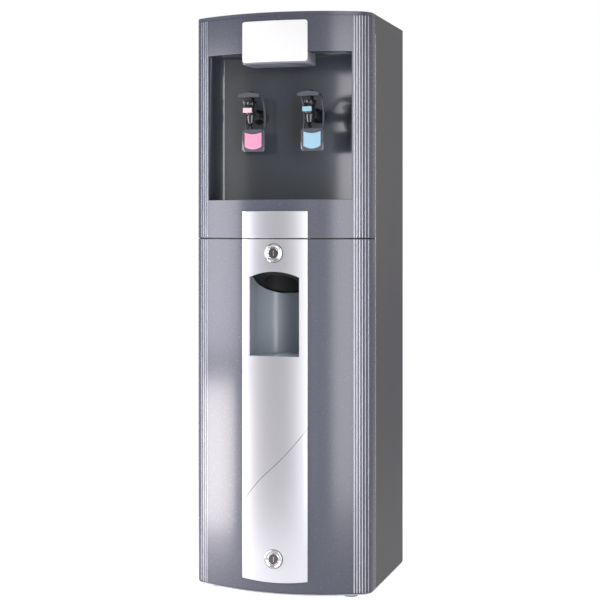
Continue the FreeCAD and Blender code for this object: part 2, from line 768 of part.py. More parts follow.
def cove(sketch, half, bow):
    """A plan with a bowed front, straight sides and a round back."""
    straight = S.niche_straight
    spread = math.degrees(math.asin(half.value / bow.value))
    edge_y = S.bow_radius.value - bow.value * math.cos(math.radians(spread))
    mouth = arc(sketch, V(0, S.bow_radius.value, 0), bow.value, FACING_FRONT - spread, FACING_FRONT + spread)
    right = sketch.addGeometry(
        Part.LineSegment(V(half.value, edge_y, 0), V(half.value, straight.value, 0)), False
    )
    back = arc(sketch, V(0, straight.value, 0), half.value, 0, 180)
    left = sketch.addGeometry(
        Part.LineSegment(V(-half.value, straight.value, 0), V(-half.value, edge_y, 0)), False
    )
    sketch.addConstraint(Sketcher.Constraint("Tangent", right, 2, back, 1))
    sketch.addConstraint(Sketcher.Constraint("Tangent", back, 2, left, 1))
    sketch.addConstraint(Sketcher.Constraint("Coincident", mouth, 2, right, 1))
    sketch.addConstraint(Sketcher.Constraint("Coincident", left, 2, mouth, 1))
    sketch.addConstraint(Sketcher.Constraint("Vertical", right))
    sketch.addConstraint(Sketcher.Constraint("Vertical", left))
    pin_point(sketch, back, 3, 0, straight)
    limit(sketch, "Radius", half, back)
    pin_point(sketch, mouth, 3, 0, S.bow_radius)
    limit(sketch, "Radius", bow, mouth)


def make_niche_liner():
    """A cove behind the door's window with a level floor and a top edge that falls to the back."""
    body = doc.addObject("PartDesign::Body", "niche_liner")
    height = S.liner_wall + S.niche_side + S.niche_rise
    outside = plane_sketch(body, "niche_outside", "XY_Plane")
    cove(outside, S.niche_half + S.liner_wall, S.bow_radius - S.skin)
    pad(body, "niche_block", outside, height)
    inside = plane_sketch(body, "niche_inside", "XY_Plane", S.liner_wall)
    cove(inside, S.niche_half, S.bow_radius + S.skin)
    pocket(body, "niche_hollow", inside, height, reverse=True)
    slope = plane_sketch(body, "niche_slope", "YZ_Plane")
    fall = S.niche_drop / niche_back
    far = niche_back * 2
    corners = ((0, height), (far, height - fall * far), (far, height * 2), (0, height * 2))
    polygon(slope, corners)
    trim = pocket(body, "niche_slope_cut", slope, S.body_width)
    trim.Midplane = True
    return node(place(body, 0, front, niche_sill - S.liner_wall))


def alcove_plan(sketch, wall):
    """Bowed back, round corners and straight sides, closed along the inside of the front skin."""
    wall = as_term(wall)
    half = alcove_half + wall
    bow = S.bow_radius - S.skin
    edge = S.bow_radius - root(bow * bow - half * half)
    chain = bowed_chain(
        sketch, -1, S.alcove_bow + wall, S.alcove_depth + wall, S.alcove_corner + wall, half, edge
    )
    spread = math.degrees(math.asin(half.value / bow.value))
    mouth = arc(sketch, V(0, S.bow_radius.value, 0), bow.value, FACING_FRONT - spread, FACING_FRONT + spread)
    sketch.addConstraint(Sketcher.Constraint("Coincident", chain[4], 2, mouth, 1))
    sketch.addConstraint(Sketcher.Constraint("Coincident", mouth, 2, chain[0], 1))
    limit(sketch, "Radius", bow, mouth)


barrel_height = derived("barrel_height", spout_height + S.barrel_lift, "barrel axis of the taps")
tap_side = derived("tap_side", S.tap_spacing / 2, "middle to a tap's axis")


def make_alcove_liner():
    """Walls and ceiling of the alcove: bowed back, round corners, holes for the taps."""
    body = doc.addObject("PartDesign::Body", "alcove_liner")
    inner_height = header_height - ledge_height
    outside = plane_sketch(body, "alcove_outside", "XY_Plane")
    alcove_plan(outside, S.liner_wall)
    pad(body, "alcove_block", outside, inner_height + S.liner_wall)
    inside = plane_sketch(body, "alcove_inside", "XY_Plane")
    alcove_plan(inside, 0)
    pocket(body, "alcove_hollow", inside, inner_height, reverse=True)
    mouth = plane_sketch(body, "alcove_mouth", "XY_Plane")
    edge = S.bow_radius - root(S.bow_radius * S.bow_radius - alcove_half * alcove_half)
    rectangle(mouth, -alcove_half, alcove_half, 0, edge + S.skin)
    pocket(body, "alcove_mouth_cut", mouth, inner_height, reverse=True)
    holes = plane_sketch(body, "alcove_tap_holes", "XZ_Plane", -S.alcove_depth / 2)
    for x in (-tap_side, tap_side):
        circle(holes, x, barrel_height - ledge_height, S.barrel_radius + S.fit_gap)
    pocket(body, "alcove_tap_cut", holes, S.alcove_depth)
    return node(place(body, 0, front, ledge_height))


def make_alcove_ledge():
    """Floor of the alcove with the well that holds the drip tray."""
    body = doc.addObject("PartDesign::Body", "alcove_ledge")
    sheet = plane_sketch(body, "ledge_sheet", "XY_Plane")
    alcove_plan(sheet, S.liner_wall)
    pad(body, "ledge_block", sheet, S.liner_wall)
    well = plane_sketch(body, "ledge_well", "XY_Plane", -S.well_depth)
    side = S.well_half + S.liner_wall
    back = S.well_front + S.well_length
    rectangle(well, -side, side, S.well_front - S.liner_wall, back + S.liner_wall)
    pad(body, "ledge_well_block", well, S.well_depth + S.liner_wall / 2)
    tray = plane_sketch(body, "ledge_tray", "XY_Plane", S.liner_wall - S.well_depth)
    rectangle(tray, -S.well_half, S.well_half, S.well_front, back)
    pocket(body, "ledge_tray_cut", tray, S.well_depth, reverse=True)
    return node(place(body, 0, front, ledge_height - S.liner_wall))


def make_nose():
    """Canopy over the taps: a shallow tray under the header, flush with the bow in front."""
    body = doc.addObject("PartDesign::Body", "nose_canopy")
    height = header_height - nose_height
    for name, wall, low in (("block", 0, 0), ("hollow", S.skin, S.skin)):
        sketch = plane_sketch(body, "nose_" + name, "XY_Plane", low)
        nose_plan(sketch, as_term(wall))
        if name == "block":
            pad(body, "nose_pad", sketch, height)
        else:
            pocket(body, "nose_cut", sketch, height, reverse=True)
    return node(place(body, 0, front, nose_height))


def nose_plan(sketch, wall):
    """Bowed front, straight sides and two round rear corners, inside a wall."""
    half = S.nose_half - wall
    bow = S.bow_radius - wall
    back = S.nose_depth - wall
    radius = S.alcove_corner / 2 - wall
    spread = math.degrees(math.asin(half.value / bow.value))
    edge = (S.bow_radius - root(bow * bow - half * half)).value
    hub_y = (back - radius).value
    hub_x = (half - radius).value
    mouth = arc(sketch, V(0, S.bow_radius.value, 0), bow.value, FACING_FRONT - spread, FACING_FRONT + spread)
    side = V(half.value, 0, 0)
    right = sketch.addGeometry(Part.LineSegment(side + V(0, edge, 0), side + V(0, hub_y, 0)), False)
    first = arc(sketch, V(hub_x, hub_y, 0), radius.value, 0, 90)
    last = arc(sketch, V(-hub_x, hub_y, 0), radius.value, 90, 180)
    left = sketch.addGeometry(Part.LineSegment(V(0, hub_y, 0) - side, V(0, edge, 0) - side), False)
    join_tangent(sketch, first, last)
    sketch.addConstraint(Sketcher.Constraint("Tangent", right, 2, first, 1))
    sketch.addConstraint(Sketcher.Constraint("Tangent", last, 2, left, 1))
    sketch.addConstraint(Sketcher.Constraint("Coincident", mouth, 2, right, 1))
    sketch.addConstraint(Sketcher.Constraint("Coincident", left, 2, mouth, 1))
    pin_point(sketch, mouth, 3, 0, S.bow_radius)
    limit(sketch, "Radius", bow, mouth)
    pin_point(sketch, first, 3, half - radius, back - radius)
    pin_point(sketch, last, 3, radius - half, back - radius)
    limit(sketch, "Radius", radius, first)
    limit(sketch, "Radius", radius, last)
    sketch.addConstraint(Sketcher.Constraint("Vertical", right))
    sketch.addConstraint(Sketcher.Constraint("Vertical", left))


niche_liner = make_niche_liner()
alcove_liner = make_alcove_liner()
alcove_ledge = make_alcove_ledge()
nose_canopy = make_nose()


# ---------------------------------------------------------------- panels, base and shelves
panel_top = derived("panel_top", S.total_height - S.skirt_height, "upper edge of the side panels")
inner_side = derived("inner_side", half_width - S.sheet_wall, "inside of the side panels")
shelf_half = derived("shelf_half", inner_side - S.fit_gap, "half width of the shelves between the panels")
shelf_rear = derived("shelf_rear", rear - S.rear_radius, "rear edge of the shelf and the deck")
rear_depth = S.body_depth - S.sheet_wall * 2
rear_inside = derived("rear_inside", rear_depth, "inside of the rear panel behind the bow")


def make_side_panel(name, way):
    """One folded side: front flange, flat side, round rear corner and rear flange."""
    body = doc.addObject("PartDesign::Body", name)
    height = panel_top - base_top
    outside = plane_sketch(body, name + "_outside", "XY_Plane")
    full_plan(outside, 0)
    pad(body, name + "_block", outside, height)
    inside = plane_sketch(body, name + "_inside", "XY_Plane")
    full_plan(inside, S.sheet_wall)
    pocket(body, name + "_hollow", inside, height, reverse=True)
    lip = half_width - S.rear_radius - S.flange * 2
    for part, left, right, low, high in (
        ("front", -S.body_width, S.body_width, -S.body_depth, side_front),
        ("middle", -lip, lip, 0, S.body_depth * 2),
        ("other", -way * S.body_width, 0, 0, S.body_depth * 2),
    ):
        sketch = plane_sketch(body, f"{name}_{part}", "XY_Plane")
        if way < 0 and part == "other":
            left, right = right, left
        rectangle(sketch, left, right, low, high)
        pocket(body, f"{name}_{part}_cut", sketch, height, reverse=True)
    flange = plane_sketch(body, name + "_flange", "XY_Plane")
    reach = half_width - S.flange - S.sheet_wall
    near, far = (reach, half_width) if way > 0 else (-half_width, -reach)
    rectangle(flange, near, far, side_front, side_front + S.sheet_wall)
    pad(body, name + "_flange_pad", flange, height)
    return node(place(body, 0, front, base_top))


def make_rear_panel():
    """Flat sheet between the rear flanges with two columns of louvre slots."""
    body = doc.addObject("PartDesign::Body", "rear_panel")
    half = half_width - S.rear_radius - S.skin
    sheet = plane_sketch(body, "rear_sheet", "XZ_Plane")
    height = panel_top - base_top - S.fit_gap
    rectangle(sheet, -half, half, 0, height)
    pad(body, "rear_sheet_pad", sheet, S.sheet_wall)
    slots = plane_sketch(body, "rear_slots", "XZ_Plane")
    slot_low = shelf_height - base_top + S.flange * 3
    for way in (-1, 1):
        inner, outer = half / 6, half * 0.8
        left, right = (inner, outer) if way > 0 else (-outer, -inner)
        rectangle(slots, left, right, slot_low, slot_low + S.flange / 2)
    slot_cut = pocket(body, "rear_slot_cut", slots, S.sheet_wall * 2)
    slot_cut.Midplane = True
    doc.recompute()
    pattern = body.newObject("PartDesign::LinearPattern", "rear_slot_rows")
    pattern.Originals = [slot_cut]
    pattern.Direction = (slots, ["V_Axis"])
    bind(pattern, "Length", S.flange * 13)
    pattern.Occurrences = 10
    body.Tip = pattern
    ports = plane_sketch(body, "rear_ports", "XZ_Plane")
    for x in (-switch_side, switch_side):
        rectangle(ports, x - switch_half, x + switch_half, switch_low - base_top, switch_high - base_top)
    inlet_right = inlet_side + S.flange * 1.4
    inlet_mid = inlet_height - base_top
    rectangle(ports, inlet_side - S.flange * 1.4, inlet_right, inlet_mid - S.flange, inlet_mid + S.flange)
    circle(ports, -S.hot_side, drain_height - base_top, S.barrel_radius + S.fit_gap)
    port_cut = pocket(body, "rear_port_cut", ports, S.sheet_wall * 2)
    port_cut.Midplane = True
    return node(place(body, 0, front + S.body_depth - S.sheet_wall, base_top))


switch_side = derived("switch_side", S.hot_side / 2, "middle to a rear switch")
switch_half = derived("switch_half", S.flange * 1.3, "half width of a rear switch's body")
switch_low = derived("switch_low", header_height - S.flange * 4, "lower end of the rear switches")
switch_high = derived("switch_high", switch_low + S.flange * 2.2, "upper end of the rear switches")
inlet_side = derived("inlet_side", half_width * 0.7, "middle to the power inlet's axis")
inlet_height = derived("inlet_height", shelf_height + S.flange * 7, "power inlet's axis")
drain_height = derived("drain_height", deck_height + S.barrel_radius * 2, "drain's axis")


def make_base():
    """Steel base with an upturned edge inside the panels, the lower lock's strike and holes."""
    body = doc.addObject("PartDesign::Body", "base_plate")
    plan = plane_sketch(body, "base_plan", "XY_Plane")
    full_plan(plan, S.base_inset)
    pad(body, "base_sheet", plan, S.base_wall)
    edge = plane_sketch(body, "base_edge", "XY_Plane")
    outer = S.sheet_wall * 2 + S.fit_gap
    full_plan(edge, outer)
    full_plan(edge, outer + S.sheet_wall)
    pad(body, "base_edge_pad", edge, S.base_wall + S.flange)
    room = plane_sketch(body, "base_room", "XY_Plane", S.base_wall)
    rectangle(room, -S.body_width, S.body_width, -S.body_depth, side_front + S.flange)
    pocket(body, "base_room_cut", room, S.flange * 2, reverse=True)
    strike = plane_sketch(body, "base_strike", "XY_Plane")
    rectangle(strike, -S.plug_radius, S.plug_radius, strike_front, strike_front + S.sheet_wall)
    pad(body, "base_strike_pad", strike, door_low + S.lock_inset_low - S.foot_height - S.cam_length * 0.8)
    add_hinge_hole(body, "base_hinge_hole", 0)
    return node(place(body, 0, front, S.foot_height))


def make_feet():
    feet = []
    for x in (S.foot_inset - half_width, half_width - S.foot_inset):
        for y in (front + S.foot_front, rear - S.foot_inset):
            number = len(feet) + 1
            feet.append(
                cone(f"foot_{number}", S.foot_radius * 0.85, S.foot_radius, S.foot_height, x, y, 0)
            )
    return node(group("feet", feet))


def make_shelf():
    """Shelf over the bottle bay that carries the compressor and the pump."""
    low = shelf_height - S.base_wall
    start = front + side_front + S.flange / 2
    depth = shelf_rear - start
    sheet = block("shelf_sheet", shelf_half * 2, depth, S.base_wall, -shelf_half, start, low)
    drop = S.flange * 2
    lip = block("shelf_lip", shelf_half * 2, S.base_wall, drop, -shelf_half, start, low - drop)
    joined = fuse("shelf_blank", sheet, lip)
    hole = rod("shelf_hole", S.hose_radius * 3, S.flange, -probe_side, probe_y, low - S.skin)
    return node(cut("mid_shelf", joined, hole))


def make_deck():
    """Deck behind the alcove that carries the two tanks."""
    start = front + S.alcove_depth + S.liner_wall + S.fit_gap
    depth = shelf_rear - start
    low = deck_height - S.base_wall
    sheet = block("deck_sheet", shelf_half * 2, depth, S.base_wall, -shelf_half, start, low)
    hole = rod("deck_hole", S.hose_radius * 3, S.flange, riser_x, riser_y, low - S.skin)
    return node(cut("tank_deck", sheet, hole))


def make_shelf_angles():
    """Angles on the side panels that carry the shelf and the deck."""
    angles = []
    for level, top in (("shelf", shelf_height - S.base_wall), ("deck", deck_height - S.base_wall)):
        start = front + S.alcove_depth + S.skin * 2
        length = rear - S.rear_radius * 2 - start
        for side, edge in (("left", -inner_side), ("right", inner_side - S.flange)):
            wall = -inner_side if side == "left" else inner_side - S.base_wall
            name = f"{level}_{side}"
            low = top - S.base_wall
            top_leg = block(f"{name}_leg", S.flange, length, S.base_wall, edge, start, low)
            low_leg = block(f"{name}_wall", S.base_wall, length, S.flange, wall, start, top - S.flange)
            angles.append(fuse(f"{level}_{side}_angle", top_leg, low_leg))
    return node(group("shelf_angles", angles))


probe_side = derived("probe_side", half_width - S.flange * 2.8, "parked bottle probe left of the middle")
probe_y = derived("probe_y", rear - S.flange * 2.9, "parked bottle probe")
riser_x = derived("riser_x", half_width - S.riser_inset, "hose from the pump up through the deck")
riser_y = derived("riser_y", front + S.body_depth * 0.53, "hose from the pump up through the deck")
left_side_panel = make_side_panel("left_side_panel", -1)
right_side_panel = make_side_panel("right_side_panel", 1)
rear_panel = make_rear_panel()
base_plate = make_base()
feet = make_feet()
mid_shelf = make_shelf()
tank_deck = make_deck()
shelf_angles = make_shelf_angles()


# ---------------------------------------------------------------- door hinge pins and locks
def make_hinge_pins():
    """Each pin stands in a cabinet bore and a door bore and has a collar in the seam between them."""
    collar = S.hinge_radius * 1.8
    low = turned(
        "hinge_pin_low",
        (
            (0, 0), (S.hinge_radius, 0), (S.hinge_radius, S.base_wall), (collar, S.base_wall),
            (collar, S.base_wall + S.door_gap - S.pin_gap * 2),
            (S.hinge_radius, S.base_wall + S.door_gap - S.pin_gap * 2),
            (S.hinge_radius, S.base_wall + S.door_gap + S.skin), (0, S.base_wall + S.door_gap + S.skin),
        ),
        hinge_x, front + hinge_depth, S.foot_height,
    )
    high = turned(
        "hinge_pin_high",
        (
            (0, 0), (S.hinge_radius, 0), (S.hinge_radius, S.skin + S.pin_gap * 2),
            (collar, S.skin + S.pin_gap * 2), (collar, S.skin + S.seam), (S.hinge_radius, S.skin + S.seam),
            (S.hinge_radius, S.skin * 2 + S.seam), (0, S.skin * 2 + S.seam),
        ),
        hinge_x, front + hinge_depth, door_top - S.skin,
    )
    return node(group("hinge_pins", (low, high)))


def make_lock(level, height):
    """Bezel with a sleeve through the door, key plug with its slot, and the cam behind."""
    bezel_back = front - S.strip_proud
    depth = S.cam_depth + S.strip_proud
    lip = S.bezel_proud
    bezel = turned(
        f"lock_bezel_{level}",
        (
            (S.plug_radius + S.pin_gap, -lip), (S.lock_radius - lip, -lip), (S.lock_radius, -lip / 2),
            (S.lock_radius, 0), (S.plug_radius + S.liner_wall - S.fit_gap, 0),
            (S.plug_radius + S.liner_wall - S.fit_gap, depth - S.skin),
            (S.plug_radius + S.pin_gap, depth - S.skin),
        ),
        0, bezel_back, height, "y",
    )
    shank = S.plug_radius / 2
    plug = turned(
        f"lock_barrel_{level}",
        (
            (0, -lip * 0.6), (S.plug_radius, -lip * 0.6), (S.plug_radius, depth), (shank, depth),
            (shank, depth + S.cam_wall), (shank * 1.4, depth + S.cam_wall),
            (shank * 1.4, depth + S.cam_wall * 2), (0, depth + S.cam_wall * 2),
        ),
        0, bezel_back, height, "y",
    )
    slot = block(
        f"key_slot_{level}", S.cam_wall, lip * 3, S.plug_radius * 1.2, -S.cam_wall / 2,
        bezel_back - lip * 2, height - S.plug_radius * 0.6,
    )
    keyed = cut(f"lock_plug_{level}", plug, slot)
    start = bezel_back + depth
    hub = rod(f"cam_hub_{level}", S.plug_radius, S.cam_wall, 0, start, height, "y")
    arm = block(
        f"cam_arm_{level}", S.cam_length, S.cam_wall, S.plug_radius * 1.6,
        0, start, height - S.plug_radius * 0.8,
    )
    bore = rod(f"cam_bore_{level}", shank + S.pin_gap, S.cam_wall * 3, 0, start - S.cam_wall, height, "y")
    cam = cut(f"lock_cam_{level}", fuse(f"cam_blank_{level}", hub, arm), bore)
    return node(bezel), node(keyed), node(cam)


hinge_pins = make_hinge_pins()
make_lock("upper", door_low + lock_high)
make_lock("lower", door_low + S.lock_inset_low)


# ---------------------------------------------------------------- taps
tap_y = derived("tap_y", front + S.tap_depth, "nozzle axis")
column_top = derived("column_top", spout_height + S.column_lift, "top of the tap's fixed column")
bonnet_top = derived("bonnet_top", column_top - S.lever_offset + 1, "top of the bonnet")
plate_low = derived("plate_low", column_top + S.fit_gap * 2, "underside of the lever's top plate")
plate_side = derived("plate_side", S.paddle_wall + 1, "straight edge of the lever's top plate")
pivot_y = derived("pivot_y", tap_y - S.lever_offset, "lever pivot")
pivot_z = derived("pivot_z", plate_low + S.paddle_wall, "lever pivot above the floor")
snout_height = derived("snout_height", barrel_height + S.barrel_radius - 1, "snout's axis")
paddle_y = derived("paddle_y", front + S.paddle_depth, "front face of the paddles")
paddle_low = derived("paddle_low", spout_height - S.paddle_height, "lower edge of the paddles")
wall_y = derived(
    "wall_y",
    front + S.alcove_depth - arch(S.alcove_bow, tap_side + S.barrel_radius + S.flange / 2),
    "alcove's wall at the outer edge of a tap's boss",
)
tap_pin_radius = derived("tap_pin_radius", S.hinge_radius / 2, "lever pins")


def make_tap(name, x):
    """Nozzle, bonnet and column turned on one axis, with the barrel, the wall boss and the lever's lug."""
    bore = S.stem_radius - 1
    stem_bore = S.stem_radius + S.pin_gap
    seat = S.barrel_lift + S.barrel_radius + 1
    bonnet_low = bonnet_top - spout_height - S.flange
    stack = turned(
        f"{name}_column",
        (
            (0, 0), (bore + 2, 0), (bore + 2, S.flange), (bore + 4, S.flange),
            (S.flange, S.barrel_lift), (S.flange, bonnet_low), (S.bonnet_radius, bonnet_low),
            (S.bonnet_radius, bonnet_top - spout_height), (bore + 3.5, bonnet_top - spout_height),
            (bore + 3.5, S.column_lift), (0, S.column_lift),
        ),
        x, tap_y, spout_height,
    )
    start = tap_y + S.stem_radius + 2
    end = front + S.alcove_depth + S.liner_wall * 2
    barrel = rod(f"{name}_barrel", S.barrel_radius, end - start, x, start, barrel_height, "y")
    boss_end = wall_y - S.fit_gap
    boss = rod(
        f"{name}_boss", S.barrel_radius + S.flange / 2, S.flange * 1.8, x, boss_end - S.flange * 1.8,
        barrel_height, "y",
    )
    snout_start = front + S.tap_depth / 2
    snout = rod(
        f"{name}_snout", S.barrel_radius, S.tap_depth / 2 - 1, x, snout_start, snout_height, "y"
    )
    lug_half = S.stem_radius
    lug = block(
        f"{name}_lug", lug_half * 2, S.lever_offset - 1, pivot_z + lug_half - bonnet_top, x - lug_half,
        pivot_y - S.lever_offset / 2 + 0.5, bonnet_top,
    )
    lug_hole = rod(
        f"{name}_lug_hole", tap_pin_radius + S.pin_gap, lug_half * 4, x - lug_half * 2, pivot_y, pivot_z, "x"
    )
    stem_hole = rod(f"{name}_stem_hole", stem_bore, S.column_lift, x, tap_y, spout_height + seat)
    water_way = rod(f"{name}_water_way", bore, seat + 1, x, tap_y, spout_height - 1)
    whole = fuse(f"{name}_blank", stack, barrel, boss, snout, lug)
    return node(cut(f"{name}_body", whole, lug_hole, stem_hole, water_way))


def make_tab(name, x):
    """Coloured tab on the end of the snout."""
    length = S.barrel_radius * 2
    return node(
        block(
            f"{name}_tab", length, S.liner_wall, S.barrel_radius, x - length / 2,
            front + S.tap_depth / 2 - S.liner_wall, snout_height - S.barrel_radius / 2,
        )
    )


def side_sketch(name, x):
    """A free sketch in a plane square to X, its own x along Y and its own y up."""
    sketch = doc.addObject("Sketcher::SketchObject", name)
    sketch.Placement = FreeCAD.Placement(V(0, 0, 0), FreeCAD.Rotation(V(1, 1, 1), 120))
    return place(sketch, x, 0, 0)


def make_rail(name, x):
    """A thin rail that bows back from the top plate to the paddle."""
    sketch = side_sketch(name + "_line", x)
    top_z = plate_low + S.hinge_radius / 2
    foot_z = paddle_low + S.paddle_height - plate_side
    foot_y = paddle_y + S.paddle_wall / 2
    rise = top_z - foot_z
    sag = S.flange * 1.4
    radius = rise * rise / (8 * sag) + sag / 2
    half = S.liner_wall
    front_edge = bend(sketch, (tap_y + half, top_z), (foot_y, foot_z), radius, True)
    rear_edge = bend(sketch, (tap_y + half * 3, top_z), (foot_y + half * 2, foot_z), radius, True)
    join_ends(sketch, front_edge[0], front_edge[1], rear_edge[0], rear_edge[1])
    join_ends(sketch, front_edge[0], front_edge[2], rear_edge[0], rear_edge[2])
    item = doc.addObject("Part::Extrusion", name)
    item.Base = sketch
    item.DirMode = "Custom"
    item.Dir = V(1, 0, 0)
    item.Solid = True
    bind(item, "LengthFwd", S.rail_wall)
    return item


def make_lever(name, x):
    """Top plate with an arched top, two side rails and the paddle behind the nozzle."""
    plate_sketch = front_sketch(f"{name}_plate_outline", pivot_y - S.lever_offset)
    bind(plate_sketch, "Placement.Base.x", x)
    window(plate_sketch, S.lever_half, plate_low, plate_side, S.paddle_wall)
    plate = pushed(f"{name}_plate", plate_sketch, S.lever_offset * 3.3)
    paddle_sketch = front_sketch(f"{name}_paddle_outline", paddle_y)
    bind(paddle_sketch, "Placement.Base.x", x)
    rounded_sketch(paddle_sketch, S.paddle_half, paddle_low, paddle_low + S.paddle_height, S.badge_radius)
    paddle = pushed(f"{name}_paddle", paddle_sketch, S.paddle_wall)
    rails = [
        make_rail(f"{name}_rail_left", x - S.lever_half),
        make_rail(f"{name}_rail_right", x + S.lever_half - S.rail_wall),
    ]
    slot_half = S.stem_radius + 1
    slot = block(
        f"{name}_slot", slot_half * 2, S.lever_offset * 1.2, S.column_lift, x - slot_half,
        pivot_y - S.lever_offset * 0.65, plate_low - 1,
    )
    hole = rod(f"{name}_stem_clear", S.stem_radius + 2.4, S.column_lift, x, tap_y, plate_low - 1)
    pin_length = lever_pin_half * 2 + S.fit_gap * 2
    pin_hole = rod(
        f"{name}_pin_hole", tap_pin_radius + S.pin_gap, pin_length, x - pin_length / 2, pivot_y, pivot_z, "x"
    )
    whole = fuse(f"{name}_lever_blank", plate, paddle, *rails)
    return node(cut(f"{name}_lever", whole, slot, hole, pin_hole))


def make_insert(name, x):
    """Coloured insert on the paddle: hollow top edge, full lower edge."""
    dip = S.paddle_wall * 0.875
    belly = S.paddle_wall * 1.4
    thick = S.liner_wall / 2
    sketch = front_sketch(f"{name}_insert_outline", paddle_y - thick)
    bind(sketch, "Placement.Base.x", x)
    half = S.insert_half
    high = paddle_low + S.paddle_height - belly
    low = paddle_low + S.badge_radius * 2
    top = bend(sketch, (-half, high), (half, high), (half * half + dip * dip) / (2 * dip), False)
    foot = bend(sketch, (-half, low), (half, low), (half * half + belly * belly) / (2 * belly), False)
    join_ends(sketch, top[0], top[1], foot[0], foot[1])
    join_ends(sketch, top[0], top[2], foot[0], foot[2])
    return node(pushed(f"{name}_insert", sketch, thick))


def make_stem(name, x):
    """Valve stem with its domed cap over the lever's plate."""
    cap_low = plate_low + plate_side + S.paddle_wall + S.fit_gap
    start = spout_height + S.barrel_lift + S.barrel_radius + 1 + S.fit_gap
    neck = cap_low - start
    cap = S.stem_radius + 3
    points = (
        (0, 0), (S.stem_radius, 0), (S.stem_radius, neck), (cap, neck), (cap, neck + 1.5),
        (cap * 0.7, neck + 3), (0, neck + 3.7),
    )
    return node(turned(f"{name}_stem", points, x, tap_y, start))


lever_pin_half = derived("lever_pin_half", S.lever_half - S.rail_wall - 1, "half length of the lever pins")
lever_pins = []
for tap_name, tap_x in (("hot", -tap_side), ("cold", tap_side)):
    make_tap(tap_name, tap_x)
    make_tab(tap_name, tap_x)
    make_lever(tap_name, tap_x)
    make_insert(tap_name, tap_x)
    make_stem(tap_name, tap_x)
    pin_left = tap_x - lever_pin_half
    pin_name = f"{tap_name}_lever_pin"
    lever_pins.append(rod(pin_name, tap_pin_radius, lever_pin_half * 2, pin_left, pivot_y, pivot_z, "x"))
node(group("lever_pins", lever_pins))


# ---------------------------------------------------------------- drip tray
def make_tray():
    """Shallow tray that sits in the alcove's well."""
    gap = S.fit_gap
    half = S.well_half - gap
    length = S.well_length - gap * 2
    y = front + S.well_front + gap
    z = ledge_height - S.well_depth
    height = S.well_depth - S.skin
    wall = S.base_wall
    outside = block("tray_outside", half * 2, length, height, -half, y, z)
    inside = block(
        "tray_inside", (half - wall) * 2, length - wall * 2, height, wall - half, y + wall, z + wall
    )
    return node(cut("drip_tray", outside, inside))


def make_grille():
    """Slotted grille on the tray's rim, level with the ledge."""
    body = doc.addObject("PartDesign::Body", "drip_grille")
    gap = S.fit_gap
    half = S.well_half - gap
    length = S.well_length - gap * 2
    plan = plane_sketch(body, "grille_plan", "XY_Plane")
    rectangle(plan, -half, half, 0, length)
    pad(body, "grille_sheet", plan, S.skin)
    slot = plane_sketch(body, "grille_slot", "XY_Plane")
    first = S.flange - half
    rectangle(slot, first, first + S.skin, S.flange, length - S.flange)
    slot_cut = pocket(body, "grille_slot_cut", slot, S.skin * 2, reverse=True)
    doc.recompute()
    pattern = body.newObject("PartDesign::LinearPattern", "grille_slots")
    pattern.Originals = [slot_cut]
    pattern.Direction = (slot, ["H_Axis"])
    bind(pattern, "Length", (half - S.flange) * 2 - S.skin)
    pattern.Occurrences = 18
    body.Tip = pattern
    return node(place(body, 0, front + S.well_front + gap, ledge_height - S.skin))


drip_tray = make_tray()
drip_grille = make_grille()


# ---------------------------------------------------------------- cup tube behind the niche
def make_cup_tube():
    """Black tube that leans back, its mouth just above the niche's falling edge."""
    lean = math.atan2(S.niche_drop.value, niche_back.value)
    outer = S.cup_radius.value
    wall = S.base_wall.value
    turn = FreeCAD.Rotation(V(1, 0, 0), -math.degrees(lean))
    fall = S.niche_drop.value * S.cup_depth.value / niche_back.value
    mouth_z = niche_top.value - fall + (S.seam.value + S.fit_gap.value) / math.cos(lean)
    mouth = V(0, front.value + S.cup_depth.value, mouth_z)
    length = S.cup_length.value
    skin = Part.makeCylinder(outer, length)
    bore = Part.makeCylinder(outer - wall, length - wall)
    half = S.mouth_half.value
    ahead = (S.cup_depth.value - S.mouth_front.value) / math.cos(lean)
    behind = (niche_back.value + wall - S.cup_depth.value) / math.cos(lean)
    plate = Part.makeBox(half * 2, ahead + behind, wall, V(-half, -ahead, 0))
    for shape in (skin, bore, plate):
        shape.Placement = FreeCAD.Placement(mouth, turn)
    arm_width = S.liner_wall.value * 3
    arm_x = outer - arm_width - S.liner_wall.value
    arm_z = upper_low.value + S.skin.value
    arms = []
    for x in (-arm_x - arm_width, arm_x):
        arm = Part.makeBox(arm_width, outer * 1.2, S.skin.value)
        arm.translate(V(x, front.value + S.flange.value, arm_z))
        arms.append(arm)
    item = doc.addObject("Part::Feature", "cup_tube")
    item.Shape = skin.fuse([plate] + arms).cut(bore)
    item.Placement = FreeCAD.Placement(V(0, 0, 0), FreeCAD.Rotation())
    return node(item)


cup_tube = make_cup_tube()


# ---------------------------------------------------------------- cooling and heating
def make_tank(name, x, radius, spout_reach):
    """A tank with a domed lid and a spout that lines up with its tap's barrel."""
    y = front + S.tank_depth
    shoulder = S.tank_height - S.flange * 1.5
    points = ((0, 0), (radius, 0), (radius, shoulder), (radius * 0.75, S.tank_height), (0, S.tank_height))
    shell = turned(f"{name}_shell", points, x, y, deck_height)
    tap_x = tap_side if x.value > 0 else -tap_side
    spout = rod(f"{name}_spout", S.hose_radius + 1.5, spout_reach, tap_x, spout_end, barrel_height, "y")
    return node(fuse(name, shell, spout))


def make_jacket():
    """Foam round the cold tank, open for the spout."""
    y = front + S.tank_depth
    inner = S.cold_radius + S.fit_gap
    outer = S.cold_radius + S.jacket_wall
    foam = tube("foam_ring", outer, inner, S.tank_height * 0.9, cold_side, y, deck_height)
    reach = S.cold_radius * 1.5
    hole = rod("foam_hole", S.hose_radius + 2, reach, tap_side, spout_end - 1, barrel_height, "y")
    return node(cut("cold_tank_foam", foam, hole))


